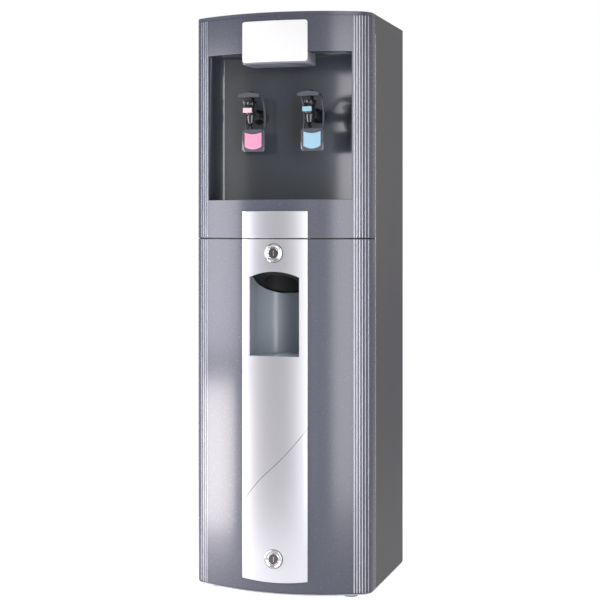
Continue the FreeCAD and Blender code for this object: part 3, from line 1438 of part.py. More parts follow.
def make_compressor():
    """Domed shell on a foot plate with four rubber mounts, and its terminal cover."""
    x = S.compressor_side
    y = front + S.tank_depth
    radius = S.compressor_radius
    mount_height = S.flange
    plate_z = shelf_height + mount_height
    tall = deck_height - S.base_wall * 2 - plate_z - S.compressor_room
    shell = turned(
        "compressor_shell",
        (
            (0, 0), (radius - S.flange, 0), (radius, S.flange), (radius, tall * 0.5),
            (radius * 0.92, tall * 0.75), (radius * 0.6, tall * 0.95), (0, tall),
        ),
        x, y, plate_z + S.base_wall,
    )
    half = radius * 1.05
    plate = block("compressor_plate", half * 2, half * 2, S.base_wall, x - half, y - half, plate_z)
    cover = block(
        "compressor_cover", radius * 0.6, radius * 0.8, tall * 0.4, x - radius * 1.3,
        y - radius * 0.4, plate_z + S.flange * 2,
    )
    mounts = [
        rod(f"compressor_mount_{i}{j}", S.flange * 0.8, mount_height, x + i * (half - S.flange),
            y + j * (half - S.flange), shelf_height)
        for i in (-1, 1)
        for j in (-1, 1)
    ]
    return node(fuse("compressor", shell, plate, cover)), node(group("compressor_mounts", mounts))


def make_pump():
    x = -S.hot_side
    y = front + S.tank_depth
    half = S.flange * 2.5
    box = block("pump_box", half * 2, half * 2, half * 2, x - half, y - half, shelf_height)
    head = rod("pump_head", half * 0.7, half * 0.8, x, y - half * 1.8, shelf_height + half, "y")
    return node(fuse("pump", box, head))


CONDENSER_RUNS = 10
CONDENSER_WIRES = 24


def make_condenser():
    """Serpentine of one tube with wires across its inner side."""
    radius = S.tube_radius.value
    y = rear.value + S.condenser_reach.value - radius
    pitch = S.condenser_pitch.value
    half = S.condenser_half.value
    edges = []
    for run in range(CONDENSER_RUNS):
        z = S.condenser_low.value + run * pitch
        way = 1 if run % 2 == 0 else -1
        edges.append(Part.LineSegment(V(-way * half, y, z), V(way * half, y, z)).toShape())
        if run < CONDENSER_RUNS - 1:
            turn = Part.Arc(
                V(way * half, y, z),
                V(way * (half + pitch / 2), y, z + pitch / 2),
                V(way * half, y, z + pitch),
            )
            edges.append(turn.toShape())
    path = Part.Wire(edges)
    ring = Part.Wire([Part.makeCircle(radius, V(-half, y, S.condenser_low.value), V(1, 0, 0))])
    serpentine = path.makePipeShell([ring], True, True)
    wire = radius * 0.6
    wires = []
    for number in range(CONDENSER_WIRES):
        x = -half + half * 2 * (number + 0.5) / CONDENSER_WIRES
        bar = Part.makeBox(wire, wire, (CONDENSER_RUNS - 1) * pitch + pitch / 2)
        bar.translate(V(x - wire / 2, y - radius - wire, S.condenser_low.value - pitch / 4))
        wires.append(bar)
    item = doc.addObject("Part::Feature", "condenser")
    item.Shape = Part.Compound([serpentine] + wires)
    item.Placement = FreeCAD.Placement(V(0, 0, 0), FreeCAD.Rotation())
    print("condenser tube volume", round(serpentine.Volume), round(math.pi * radius**2 * path.Length))
    return node(item)


def make_brackets():
    """Four brackets between the rear panel and the condenser's runs."""
    items = []
    start = rear - S.sheet_wall
    depth = S.condenser_reach + S.sheet_wall - S.tube_radius * 2
    width = S.flange * 0.6
    side = S.condenser_half * (1 - 2 / CONDENSER_WIRES)
    for level, run in (("low", 1), ("high", 8)):
        z = S.condenser_low + S.condenser_pitch * run - S.flange / 2
        for name, x in (("left", -side), ("right", side)):
            items.append(block(f"bracket_{level}_{name}", width, depth, S.flange, x - width / 2, start, z))
    return node(group("condenser_brackets", items))


spout_depth = front + S.alcove_depth + S.skirt_height * 0.7
spout_end = derived("spout_end", spout_depth, "open end of the tanks' spouts")
cold_tank = make_tank("cold_tank", cold_side, S.cold_radius, S.cold_radius * 0.8)
hot_tank = make_tank("hot_tank", -S.hot_side, S.hot_radius, S.cold_radius * 0.9)
cold_tank_foam = make_jacket()
compressor = make_compressor()
pump = make_pump()
condenser = make_condenser()
condenser_brackets = make_brackets()


# ---------------------------------------------------------------- bottle probe, hoses and rear fittings
def make_hose(name, points, radius):
    """A hose of straight runs joined by tangent arcs, through points in the part's frame."""
    spots = [V(*(as_term(value).value for value in point)) for point in points]
    edges = []
    start = spots[0]
    bends = []
    for before, spot, after in zip(spots, spots[1:], spots[2:]):
        into = (spot - before).normalize()
        out = (after - spot).normalize()
        turn = into.getAngle(out)
        cut_back = 0.45 * min((spot - before).Length, (after - spot).Length)
        bend_radius = cut_back / math.tan(turn / 2)
        bends.append(round(bend_radius, 1))
        first = spot - into * cut_back
        last = spot + out * cut_back
        inward = (out - into).normalize()
        hub = spot + inward * (bend_radius / math.cos(turn / 2))
        edges.append(Part.LineSegment(start, first).toShape())
        edges.append(Part.Arc(first, hub - inward * bend_radius, last).toShape())
        start = last
    edges.append(Part.LineSegment(start, spots[-1]).toShape())
    path = Part.Wire(edges)
    ring = Part.Wire([Part.makeCircle(radius.value, spots[0], spots[1] - spots[0])])
    item = doc.addObject("Part::Feature", name)
    item.Shape = path.makePipeShell([ring], True, False)
    item.Placement = FreeCAD.Placement(V(0, 0, 0), FreeCAD.Rotation())
    expected = math.pi * radius.value**2 * path.Length
    print(name, "bend radii", bends, "volume", round(item.Shape.Volume), round(expected))
    return item


def make_probe():
    """Bottle cap with its long dip tube, parked upright in a clip on the rear panel."""
    cap_radius = S.flange * 1.6
    cap_z = probe_top - S.flange * 2
    tube_z = cap_z - S.probe_length
    x = -probe_side
    stem = rod("probe_stem", S.hose_radius, S.probe_length, x, probe_y, tube_z)
    cap = rod("probe_cap", cap_radius, S.flange * 2, x, probe_y, cap_z)
    probe = fuse("bottle_probe", stem, cap)
    clip_z = probe_top - S.probe_length / 2
    clip_back = rear - S.sheet_wall * 2
    arm = block(
        "clip_arm", S.flange * 1.6, clip_back - probe_y + S.flange * 0.8, S.flange, x - S.flange * 0.8,
        probe_y - S.flange * 0.8, clip_z,
    )
    bore = rod("clip_bore", S.hose_radius + S.pin_gap, S.flange * 2, x, probe_y, clip_z - S.flange / 2)
    return node(probe), node(cut("probe_clip", arm, bore))


def make_control_box():
    """Thermostats and relay under one cover beside the pump."""
    length, width = S.flange * 7, S.flange * 4.5
    x = S.flange * 2 - half_width
    return node(block("control_box", length, width, S.flange * 6, x, front + S.alcove_depth, shelf_height))


def make_switch(name, x):
    """Rear switch: a body through the panel with a bezel, and the rocker on its own pivot."""
    outside = rear - S.sheet_wall
    height = switch_high - switch_low
    inset = S.fit_gap
    depth = S.flange * 1.5
    body = block(
        f"{name}_case", (switch_half - inset) * 2, depth, height - inset * 2, x - switch_half + inset,
        outside - depth, switch_low + inset,
    )
    edge = S.base_wall
    bezel = block(
        f"{name}_bezel", (switch_half + edge) * 2, edge, height + edge * 2, x - switch_half - edge, outside,
        switch_low - edge,
    )
    room_half = switch_half - S.skin
    room = block(
        f"{name}_room", room_half * 2, depth, height - S.skin * 2, x - room_half, outside - S.flange / 2,
        switch_low + S.skin,
    )
    middle = (switch_low + switch_high) / 2
    pin = S.hinge_radius / 2
    pin_half = room_half + S.liner_wall / 2
    hole_half = pin_half + S.fit_gap
    hole = rod(f"{name}_hole", pin + S.pin_gap, hole_half * 2, x - hole_half, outside, middle, "x")
    rocker_half = room_half - S.fit_gap
    paddle = block(
        f"{name}_paddle", rocker_half * 2, S.skin, height - S.skin * 2 - S.base_wall, x - rocker_half,
        outside, switch_low + S.skin + S.base_wall / 2,
    )
    hub = rod(f"{name}_hub", S.hinge_radius, rocker_half * 2, x - rocker_half, outside, middle, "x")
    axle = rod(f"{name}_axle", pin, pin_half * 2, x - pin_half, outside, middle, "x")
    housing = cut(f"{name}_housing", fuse(f"{name}_blank", body, bezel), room, hole)
    return node(housing), node(fuse(f"{name}_rocker", paddle, hub, axle))


def make_inlet():
    """Socket for the power lead with its three blades."""
    outside = rear - S.sheet_wall
    half = S.flange * 1.4 - S.fit_gap
    tall = S.flange - S.fit_gap
    depth = S.flange * 2
    edge = S.base_wall
    low = inlet_height - tall
    case = block("inlet_case", half * 2, depth, tall * 2, inlet_side - half, outside - depth, low)
    rim = block(
        "inlet_rim", (half + edge) * 2, edge, (tall + edge) * 2, inlet_side - half - edge, outside,
        inlet_height - tall - edge,
    )
    room_half = half - S.skin
    room_tall = tall - S.liner_wall
    room = block(
        "inlet_room", room_half * 2, depth, room_tall * 2, inlet_side - room_half,
        outside - depth + S.skin, inlet_height - room_tall,
    )
    spots = ((-S.skin * 2, -4), (as_term(0), 0), (S.skin * 2, -4))
    blades = [
        block(
            f"inlet_blade_{number}", S.base_wall, depth * 0.8, S.skin * 1.4,
            inlet_side + shift - S.base_wall / 2, outside - depth, inlet_height + lift,
        )
        for number, (shift, lift) in enumerate(spots, start=1)
    ]
    return node(fuse("power_inlet", cut("inlet_shell", fuse("inlet_blank", case, rim), room), *blades))


def make_drain():
    """Drain pipe of the hot tank through the rear panel, with its push-on cap."""
    start = front + S.tank_depth + S.hot_radius
    end = rear + S.flange
    x = -S.hot_side
    pipe = tube("drain_outlet", S.barrel_radius, S.hose_radius, end - start, x, start, drain_height, "y")
    cap_outer = S.barrel_radius + S.base_wall
    cup = rod("drain_cup", cap_outer, S.flange, -S.hot_side, end - S.flange + S.base_wall, drain_height, "y")
    bore = rod(
        "drain_cup_bore", S.barrel_radius + S.pin_gap, S.flange, -S.hot_side,
        end - S.flange, drain_height, "y",
    )
    return node(pipe), node(cut("drain_cap", cup, bore))


probe_top = derived("probe_top", shelf_height - S.flange * 3, "top of the parked probe's cap")
make_probe()
control_box = make_control_box()
hot_switch = make_switch("hot_switch", -switch_side)
cold_switch = make_switch("cold_switch", switch_side)
power_inlet = make_inlet()
make_drain()
doc.recompute()

barrel_end = front + S.alcove_depth + S.liner_wall * 2
pump_y = front + S.tank_depth
pump_top = shelf_height + S.flange * 5
hose_level = pump_top - S.flange * 2.5
riser_level = pump_top + S.flange * 6
lid_level = deck_height + S.tank_height
tap_hoses = [
    make_hose(f"{name}_hose", ((x, barrel_end, barrel_height), (x, spout_end, barrel_height)), S.hose_radius)
    for name, x in (("hot", -tap_side), ("cold", tap_side))
]
node(group("tap_hoses", tap_hoses))
suction_hose = make_hose(
    "suction_hose",
    (
        (-probe_side, probe_y, probe_top), (-probe_side, probe_y, hose_level),
        (-S.hot_side, probe_y, hose_level), (-S.hot_side, pump_y + S.flange * 2.5, hose_level),
    ),
    S.hose_radius,
)
riser_hose = make_hose(
    "riser_hose",
    (
        (-S.hot_side, pump_y, pump_top), (-S.hot_side, pump_y, riser_level),
        (riser_x, riser_y, riser_level), (riser_x, riser_y, lid_level + S.flange * 3),
        (cold_side, pump_y, lid_level + S.flange * 3), (cold_side, pump_y, lid_level),
    ),
    S.hose_radius,
)
node(suction_hose)
node(riser_hose)

# ---------------------------------------------------------------- checks and files
doc.recompute()
faults = [item.Name for item in doc.Objects if "Invalid" in item.State or "Error" in item.State]
for item in NODES:
    if item.Shape.isNull() or not item.Shape.isValid():
        faults.append(item.Label)
if faults:
    raise SystemExit(f"not built: {faults}")
for item in NODES:
    item.Shape.exportStep(os.path.join("parts", item.Label + ".step"))
print(len(NODES), "pieces written")
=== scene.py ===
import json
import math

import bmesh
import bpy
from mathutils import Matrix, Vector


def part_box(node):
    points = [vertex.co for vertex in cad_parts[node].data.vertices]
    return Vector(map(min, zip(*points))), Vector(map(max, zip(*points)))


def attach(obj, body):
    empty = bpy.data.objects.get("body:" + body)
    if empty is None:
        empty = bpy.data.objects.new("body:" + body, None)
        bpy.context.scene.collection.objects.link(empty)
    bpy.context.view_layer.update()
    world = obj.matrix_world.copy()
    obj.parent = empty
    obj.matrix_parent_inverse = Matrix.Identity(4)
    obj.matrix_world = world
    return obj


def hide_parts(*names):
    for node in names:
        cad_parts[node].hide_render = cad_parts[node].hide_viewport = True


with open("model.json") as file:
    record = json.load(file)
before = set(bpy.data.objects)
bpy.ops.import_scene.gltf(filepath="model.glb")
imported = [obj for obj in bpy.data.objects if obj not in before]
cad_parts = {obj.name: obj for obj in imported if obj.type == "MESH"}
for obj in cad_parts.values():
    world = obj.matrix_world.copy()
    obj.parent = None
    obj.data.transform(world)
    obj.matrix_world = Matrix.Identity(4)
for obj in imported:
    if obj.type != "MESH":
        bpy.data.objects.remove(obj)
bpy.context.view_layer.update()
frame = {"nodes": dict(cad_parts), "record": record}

# %% [markdown]
# A bottom load water cooler: a tall bowed cabinet in charcoal plastic, with a silver strip and a niche
# for cups in its lower door, and two lever taps in an alcove. The construction model already holds every
# piece at its real size. This scene gives the pieces their finishes, remakes the mouldings that show with
# the soft edges of a real mould, and sets the light.

MM = 0.001
record = frame["record"]
body_of_node = {node: body for body, nodes in record["behaviour"]["bodies"].items() for node in nodes}
slot_of_node = {part["node"]: part["material_slot"] for part in record["subparts"]}

# %% [markdown]
# Colours are easiest to read as the hex values of a picture. The shaders count light instead, so each
# hex value goes through the sRGB curve once, here. Colours typed in as light would work too, but nobody
# could compare them with a swatch.

# %% From hex to linear colour
def linear(hex_colour):
    channels = [int(hex_colour[i:i + 2], 16) / 255 for i in (1, 3, 5)]
    return (*[c / 12.92 if c <= 0.04045 else ((c + 0.055) / 1.055) ** 2.4 for c in channels], 1.0)


print("the charcoal in linear light:", [round(c, 3) for c in linear("#515360")])

# %% [markdown]
# Every finish is a small network of nodes. One function adds a node, sets its fields and sockets and
# joins its inputs, so that a finish reads as a list of what it holds. A name that the node has as a field
# is set there, and any other name or number is one of its input sockets.

# %% Adding a node
def add(tree, kind, settings=None, links=None):
    node = tree.nodes.new(kind)
    for name, value in (settings or {}).items():
        if isinstance(name, str) and hasattr(node, name):
            setattr(node, name, value)
        else:
            node.inputs[name].default_value = value
    for name, source in (links or {}).items():
        tree.links.new(source, node.inputs[name])
    return node


def principled(name):
    """A new material with its tree, its shader and the coordinates of the piece it lies on."""
    material = bpy.data.materials.new(name)
    material.use_nodes = True
    where = add(material.node_tree, "ShaderNodeTexCoord")
    return material, material.node_tree, material.node_tree.nodes["Principled BSDF"], where


print("slots to be finished:", len(set(slot_of_node.values())))

# %% [markdown]
# Moulded ABS has a very fine spark-eroded skin, so a lamp's reflection in it is soft and a little broken.
# It could be drawn with a picture of such a skin, but a noise on the piece's own coordinates never
# repeats and never stretches. A fine noise goes to the bump. A wider one mottles colour and roughness a
# little, as the flow of the melt does. The real grain is near 0.1 mm, too fine to show: it is drawn at
# about 0.9. Enamel, rubber and foam are the same network with a grain of their own.

# %% Moulded plastic, enamel, rubber and foam
MOTTLE_MM, GRAIN_HEIGHT = 3.2, 0.05 * MM


def moulded(name, colour, deep, roughness, grain_mm=0.9, relief=0.06, coat=0.0):
    material, tree, shader, where = principled(name)
    grain = add(tree, "ShaderNodeTexNoise", {"Scale": 1 / (grain_mm * MM), "Detail": 2.0},
                {"Vector": where.outputs["Object"]})
    mottle = add(tree, "ShaderNodeTexNoise", {"Scale": 1 / (MOTTLE_MM * MM), "Detail": 2.0},
                 {"Vector": where.outputs["Object"]})
    tint = add(tree, "ShaderNodeMix", {"data_type": "RGBA", 6: linear(deep), 7: linear(colour)},
               {0: mottle.outputs["Fac"]})
    sheen = add(tree, "ShaderNodeMapRange", {"To Min": roughness * 0.95, "To Max": roughness * 1.05},
                {"Value": mottle.outputs["Fac"]})
    bump = add(tree, "ShaderNodeBump", {"Strength": relief, "Distance": GRAIN_HEIGHT},
               {"Height": grain.outputs["Fac"]})
    tree.links.new(tint.outputs[2], shader.inputs["Base Color"])
    tree.links.new(sheen.outputs["Result"], shader.inputs["Roughness"])
    tree.links.new(bump.outputs["Normal"], shader.inputs["Normal"])
    shader.inputs["IOR"].default_value = 1.5
    shader.inputs["Coat Weight"].default_value = coat
    shader.inputs["Coat Roughness"].default_value = 0.15
    return material


print("moulded skins: grain about 0.9 mm, mottle", MOTTLE_MM, "mm")

# %% [markdown]
# Silver lacquer, chrome, nickel, zinc and stainless steel are metals to the eye: what they show is their
# surroundings, spread by a fine grain, so they need no tint of their own beyond one colour. Flake and
# scratches are really near 0.05 mm: they are drawn at about 1 mm, or they wouldn't show. Rolled and
# drawn sheets have the grain drawn out along one way, so there the noise is stretched upwards.

# %% Metals and silver lacquer
SCRATCH_HEIGHT = 0.03 * MM


def metal(name, colour, roughness, grain_mm=1.0, drawn_out=1.0, relief=0.05):
    material, tree, shader, where = principled(name)
    fine = 1 / (grain_mm * MM)
    stretch = add(tree, "ShaderNodeMapping", {"Scale": (fine, fine, fine / drawn_out)},
                  {"Vector": where.outputs["Object"]})
    grain = add(tree, "ShaderNodeTexNoise", {"Scale": 1.0, "Detail": 3.0},
                {"Vector": stretch.outputs["Vector"]})
    sheen = add(tree, "ShaderNodeMapRange", {"To Min": roughness * 0.85, "To Max": roughness * 1.15},
                {"Value": grain.outputs["Fac"]})
    bump = add(tree, "ShaderNodeBump", {"Strength": relief, "Distance": SCRATCH_HEIGHT},
               {"Height": grain.outputs["Fac"]})
    shader.inputs["Metallic"].default_value = 1.0
    shader.inputs["Base Color"].default_value = linear(colour)
    tree.links.new(sheen.outputs["Result"], shader.inputs["Roughness"])
    tree.links.new(bump.outputs["Normal"], shader.inputs["Normal"])
    return material


print("metal grain about 1 mm, scratches", SCRATCH_HEIGHT / MM, "mm deep")

# %% [markdown]
# There is one finish for each slot of the record, and a few for single pieces. Each is named for the real
# material and how its skin was made. Hex colours were matched to the photograph, and roughness
# starts from what the material has: near 0.1 for a polished mould, 0.3 for a fine grained one, and 0.8
# for rubber and foam. First come the large outer pieces.

# %% Finishes of the outer pieces
finishes = {
    # Glossy and blue-grey, so upright lamps become soft pale bands in its bow.
    "charcoal": moulded("moulded_charcoal_abs", "#515360", "#4F515E", 0.27, relief=0.02, coat=0.2),
    # Browner and duller than the mouldings, with the slight orange peel of a sprayed sheet.
    "side_paint": moulded("enamelled_steel", "#514E54", "#4A484D", 0.36, grain_mm=1.6, relief=0.1),
    # Lacquer with fine metal flake: white where it meets a lamp, and soft grey between two of them.
    "silver": metal("silver_lacquer", "#E8E8EE", 0.31, relief=0.02),
    # Pearl lacquer stays near white where the silver strip turns grey.
    "badge_silver": moulded("pearl_white_lacquer", "#F8F8F6", "#F3F3F1", 0.26, relief=0.02, coat=0.3),
    # A polished mould: dark, with clear reflections of the taps.
    "alcove": moulded("polished_dark_abs", "#41454B", "#3A3E44", 0.19, relief=0.03, coat=0.3),
    # The canopy over the taps: as glossy as the charcoal, but paler and less blue.
    "nose": moulded("moulded_silver_grey_abs", "#8B8994", "#83818C", 0.3, coat=0.2),
    # Plain mid grey with a soft sheen, so the round back of the niche reads as round.
    "niche_grey": moulded("moulded_grey_abs", "#8A929A", "#828A92", 0.3, coat=0.2),
    # Painted light in the grooves: a mid grey painted shadow across the strip, bright painted highlights
    # in the corners.
    # Painted shadow: the darker grey beside the strip's groove.
    "groove_painted_shade": moulded("painted_groove_shadow", "#77777F", "#707078", 0.5),
    # Painted highlight: the pale floors of the corner grooves stand for the light that the ribs catch.
    "rib_painted_highlight": moulded("painted_rib_highlight", "#E6E6EE", "#DCDCE5", 0.3, relief=0.02),
    # Folded and rolled steel, drawn out along the seam: a thin bright line.
    "seam_metal": metal("bright_rolled_edge", "#E4E4EA", 0.25, grain_mm=2.0, drawn_out=20),
    # Unpainted nylon is pale and a little waxy.
    "glide_nylon": moulded("pale_nylon", "#DEDEDC", "#D6D6D4", 0.5),
}
print(len(finishes), "finishes outside")

# %% [markdown]
# The taps are small and glossy, and each of their colours is moulded through, not printed: pink for hot
# and blue for cold. The locks are chromed, with key plugs of worn nickel. What is inside or at the back
# has the dull finishes of sheet metal, rubber and foam.

# %% Finishes of the taps, the locks and the works
finishes.update({
    # Small black parts from a polished mould: short sharp highlights.
    "black_plastic": moulded("moulded_black_abs", "#1B1C20", "#151619", 0.12, relief=0.02, coat=0.8),
    # No gloss at all, so the mouth above the niche is a plain dark hole.
    "tube_black": moulded("matt_black_polystyrene", "#08080A", "#060608", 0.6),
    # Smoked and glossy, lighter than the black behind it.
    "lever_grey": moulded("smoked_polycarbonate", "#595B63", "#53555D", 0.1, relief=0.02, coat=0.6),
    # Moulded through: even colours with a soft sheen, pink and blue below, paler ones on the tabs.
    "pink": moulded("moulded_pink_abs", "#E9A2BE", "#E49AB7", 0.25),
    "blue": moulded("moulded_blue_abs", "#A9CEE2", "#A0C6DC", 0.25),
    "pale_pink": moulded("moulded_pale_pink_abs", "#ECCAD1", "#E8C3CB", 0.25),
    "pale_teal": moulded("moulded_pale_teal_abs", "#A0C8D1", "#98C1CB", 0.25),
    # Chrome shows its surroundings almost sharply; the worn plug is browner and blurred by scratches.
    "lock_steel": metal("polished_chrome", "#CFCFD4", 0.12),
    "worn_nickel": metal("worn_nickel_plate", "#6F6862", 0.34, grain_mm=1.4, relief=0.15),
    # Zinc has spangles of some millimetres, which dull it in patches.
    "zinc": metal("zinc_plated_steel", "#A9ACB0", 0.42, grain_mm=6.0, relief=0.1),
    # Thick enamel over wire and shells: black, with a dull shine.
    "black_paint": moulded("black_enamel", "#1A1B1D", "#151618", 0.38),
    # Rubber takes hardly any highlight.
    "rubber_black": moulded("moulded_rubber", "#1C1C1D", "#171718", 0.75, grain_mm=0.6, relief=0.25),
    # Deep drawn steel: fine upright lines blur what it shows.
    "tank_steel": metal("drawn_stainless_steel", "#C6C7C9", 0.3, grain_mm=1.5, drawn_out=40),
    # Foam is rough and yellowish, with cells of about 3 mm.
    "foam": moulded("polyurethane_foam", "#E0D9BC", "#D2C9A6", 0.85, grain_mm=3.0, relief=0.6),
    # Silicone is milky, between gloss and wax.
    "hose_white": moulded("silicone_rubber_hose", "#E9E9E6", "#E2E2DE", 0.5),
})
print(len(finishes), "finishes in all")

# %% [markdown]
# The construction model's round faces are made of small flats, and a glossy bow shows every one. Finer
# flats would be heavy. Instead a corner of a face that lies on a round wall gets that wall's own
# direction, and the shader blends between them: the shape stays, and the reflection runs smoothly.

# %% The bow of the front, and true directions on round walls
BOW_RADIUS = 0.344
BOW_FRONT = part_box("upper_front_frame")[0][1]
bow_middle = Vector((0, BOW_FRONT + BOW_RADIUS, 0))


def true_walls(piece, rounds):
    """Gives corners of upright faces on a round wall (x, y, radius) the wall's own direction."""
    mesh = piece.data
    directions = [corner.vector.copy() for corner in mesh.corner_normals]
    for face in mesh.polygons:
        if abs(face.normal.z) > 0.02:
            continue
        for index in face.loop_indices:
            point = mesh.vertices[mesh.loops[index].vertex_index].co
            for x, y, radius in rounds:
                away = Vector((point.x - x, point.y - y, 0))
                if abs(away.length - radius) < 0.08 * MM:
                    away.normalize()
                    facing = away.dot(face.normal)
                    if abs(facing) > 0.985:
                        directions[index] = away if facing > 0 else -away
                        break
    mesh.normals_split_custom_set(directions)


print("front of the bow at y", round(BOW_FRONT, 5))

# %% [markdown]
# A bmesh is only a shape. To be a piece of the cooler it needs a mesh, a finish and a body to ride on; the
# finish is that of the record's slot unless another is named. One function does this for every new piece,
# so that none is forgotten. A second one decides which edges stay sharp: all that turn by more than some
# degrees.

# %% A piece of the object from a finished shape
def piece_from(shape, name, body, slot, finish=None):
    mesh = bpy.data.meshes.new(name)
    shape.to_mesh(mesh)
    shape.free()
    mesh.materials.append(finishes[finish or slot])
    piece = bpy.data.objects.new(name, mesh)
    bpy.context.scene.collection.objects.link(piece)
    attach(piece, body)
    return piece


def shade(piece, edge_degrees=35):
    piece.data.shade_smooth()
    piece.data.set_sharp_from_angle(angle=math.radians(edge_degrees))


# %% [markdown]
# Most pieces keep the construction model's shape. Its mesh is loose triangles that must stay as they are,
# so a copy is taken. Its points are welded, because only joined faces can be shaded as one skin, and
# the copy stands in for the construction piece.

# %% Smooth skins over the construction pieces
WELD = 0.002 * MM


def smooth_skin(node, finish=None):
    shape = bmesh.new()
    shape.from_mesh(frame["nodes"][node].data)
    bmesh.ops.remove_doubles(shape, verts=shape.verts, dist=WELD)
    piece = piece_from(shape, node + "_skin", body_of_node[node], slot_of_node[node], finish)
    shade(piece, 28)
    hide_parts(node)
    return piece


print("points nearer than", round(WELD / MM, 4), "mm are welded")

# %% [markdown]
# The front mouldings are thin sheets that follow one plan line: the bow, a round corner, a straight
# return. They could be cut from a solid, but a sheet is easier to model flat, before it is formed:
# windows, ribs and soft edges are made on the flat, and one function then bends every point onto the
# plan line. A run is a distance along that line from the middle of the front, minus to the left.

# %% The plan line of the front
HALF_WIDTH, CORNER_RADIUS, RETURN_DEPTH = 0.176, 0.032, 88 * MM
CORNER_X = HALF_WIDTH - CORNER_RADIUS
bow_turn = math.asin(CORNER_X / (BOW_RADIUS - CORNER_RADIUS))
CORNER_Y = bow_middle.y - (BOW_RADIUS - CORNER_RADIUS) * math.cos(bow_turn)
bow_run = BOW_RADIUS * bow_turn
corner_run = CORNER_RADIUS * (math.pi / 2 - bow_turn)
return_run = BOW_FRONT + RETURN_DEPTH - CORNER_Y
half_run = bow_run + corner_run + return_run


def plan_spot(run):
    """Place and outward direction on the plan line, a run away from its middle."""
    way = 1 if run >= 0 else -1
    run = abs(run)
    if run <= bow_run:
        turn = run / BOW_RADIUS
        outward = Vector((math.sin(turn), -math.cos(turn), 0))
        spot = bow_middle + outward * BOW_RADIUS
    elif run <= bow_run + corner_run:
        turn = bow_turn + (run - bow_run) / CORNER_RADIUS
        outward = Vector((math.sin(turn), -math.cos(turn), 0))
        spot = Vector((CORNER_X, CORNER_Y, 0)) + outward * CORNER_RADIUS
    else:
        outward = Vector((1, 0, 0))
        spot = Vector((HALF_WIDTH, CORNER_Y + run - bow_run - corner_run, 0))
    spot.x *= way
    outward.x *= way
    return spot, outward


def run_at(x):
    """The run on the plan line at a distance x from the middle."""
    if x <= BOW_RADIUS * math.sin(bow_turn):
        return BOW_RADIUS * math.asin(x / BOW_RADIUS)
    return bow_run + CORNER_RADIUS * (math.asin((x - CORNER_X) / CORNER_RADIUS) - bow_turn)


print("plan line from middle to end:", round(half_run / MM, 1), "mm")
print("the bow turns", round(math.degrees(bow_turn), 1), "degrees each way")

# %% [markdown]
# A flat sheet starts as one square, scaled to size and cut by planes at the runs and levels where
# something begins, so every later step finds its points ready. The cells of a window are then deleted.

# %% A flat sheet with windows
def flat_sheet(runs, levels, kept=lambda run, level: True):
    shape = bmesh.new()
    bmesh.ops.create_grid(shape, x_segments=1, y_segments=1, size=0.5)
    width, height = runs[-1] - runs[0], levels[-1] - levels[0]
    bmesh.ops.scale(shape, vec=(width, height, 1), verts=shape.verts)
    middle = ((runs[0] + runs[-1]) / 2, (levels[0] + levels[-1]) / 2, 0)
    bmesh.ops.translate(shape, vec=middle, verts=shape.verts)
    cuts = [((run, 0, 0), (1, 0, 0)) for run in runs[1:-1]]
    cuts += [((0, level, 0), (0, 1, 0)) for level in levels[1:-1]]
    for place, across in cuts:
        everything = shape.verts[:] + shape.edges[:] + shape.faces[:]
        bmesh.ops.bisect_plane(shape, geom=everything, plane_co=place, plane_no=across)
    holes = [face for face in shape.faces if not kept(*face.calc_center_median()[:2])]
    bmesh.ops.delete(shape, geom=holes, context="FACES")
    return shape


trial = flat_sheet([-0.1, 0.0, 0.1], [0.0, 0.5, 1.0], lambda run, level: run < 0 or level < 0.5)
print("a trial sheet with one window has", len(trial.faces), "cells")
trial.free()

# %% [markdown]
# Three more steps make a moulding of a sheet. It gets its wall by an extrusion to the back, which also
# closes the rims. Its sharp edges are bevelled a little, because no mould leaves a knife edge, and the
# light catches there. Then it is bent onto the plan line: across it run, up it level, and its thickness
# along the outward direction.

# %% Thickness, soft edges and the bend
def thicken(shape, wall):
    """The sheet's second side lies a wall deeper, and rims close it."""
    made = bmesh.ops.extrude_face_region(shape, geom=shape.faces[:])
    deeper = [item for item in made["geom"] if isinstance(item, bmesh.types.BMVert)]
    bmesh.ops.translate(shape, vec=(0, 0, -wall), verts=deeper)
    bmesh.ops.recalc_face_normals(shape, faces=shape.faces)


def soften(shape, width, least_degrees=55, segments=2):
    """Bevels all edges that turn by more than the least angle."""
    sharp = [edge for edge in shape.edges
             if len(edge.link_faces) == 2 and edge.calc_face_angle() > math.radians(least_degrees)]
    bmesh.ops.bevel(shape, geom=sharp, offset=width, offset_type="OFFSET", segments=segments,
                    profile=0.5, affect="EDGES", clamp_overlap=False, material=-1)


def form(shape, proud=0.0):
    """Bends a flat sheet onto the plan line: x is the run, y the level, z how far it stands out."""
    for vert in shape.verts:
        spot, outward = plan_spot(vert.co.x)
        level = vert.co.y
        vert.co = spot + outward * (vert.co.z + proud)
        vert.co.z = level


trial = flat_sheet([-0.1, 0.1], [0.0, 1.0])
thicken(trial, 3 * MM)
soften(trial, 1 * MM)
print("a trial plate with soft edges has", len(trial.faces), "faces")
trial.free()

# %% [markdown]
# Each front corner is ribbed: six fine grooves, and on each groove's floor a pale painted highlight, which
# shows as the bright upright lines of light on the ribs. They could be a bump in the finish, but then the
# outline would stay smooth.
# On the flat sheet a groove is four close lines, the middle pair pushed in. The door and the upper frame
# share the lines, so their grooves meet.

# %% The lines of the ribbed corners
GROOVE_HALF, GROOVE_EDGE, GROOVE_DEPTH = 0.85 * MM, 1.15 * MM, 0.8 * MM
groove_runs = [run_at((148.1 + 4.7 * step) * MM) for step in range(6)]


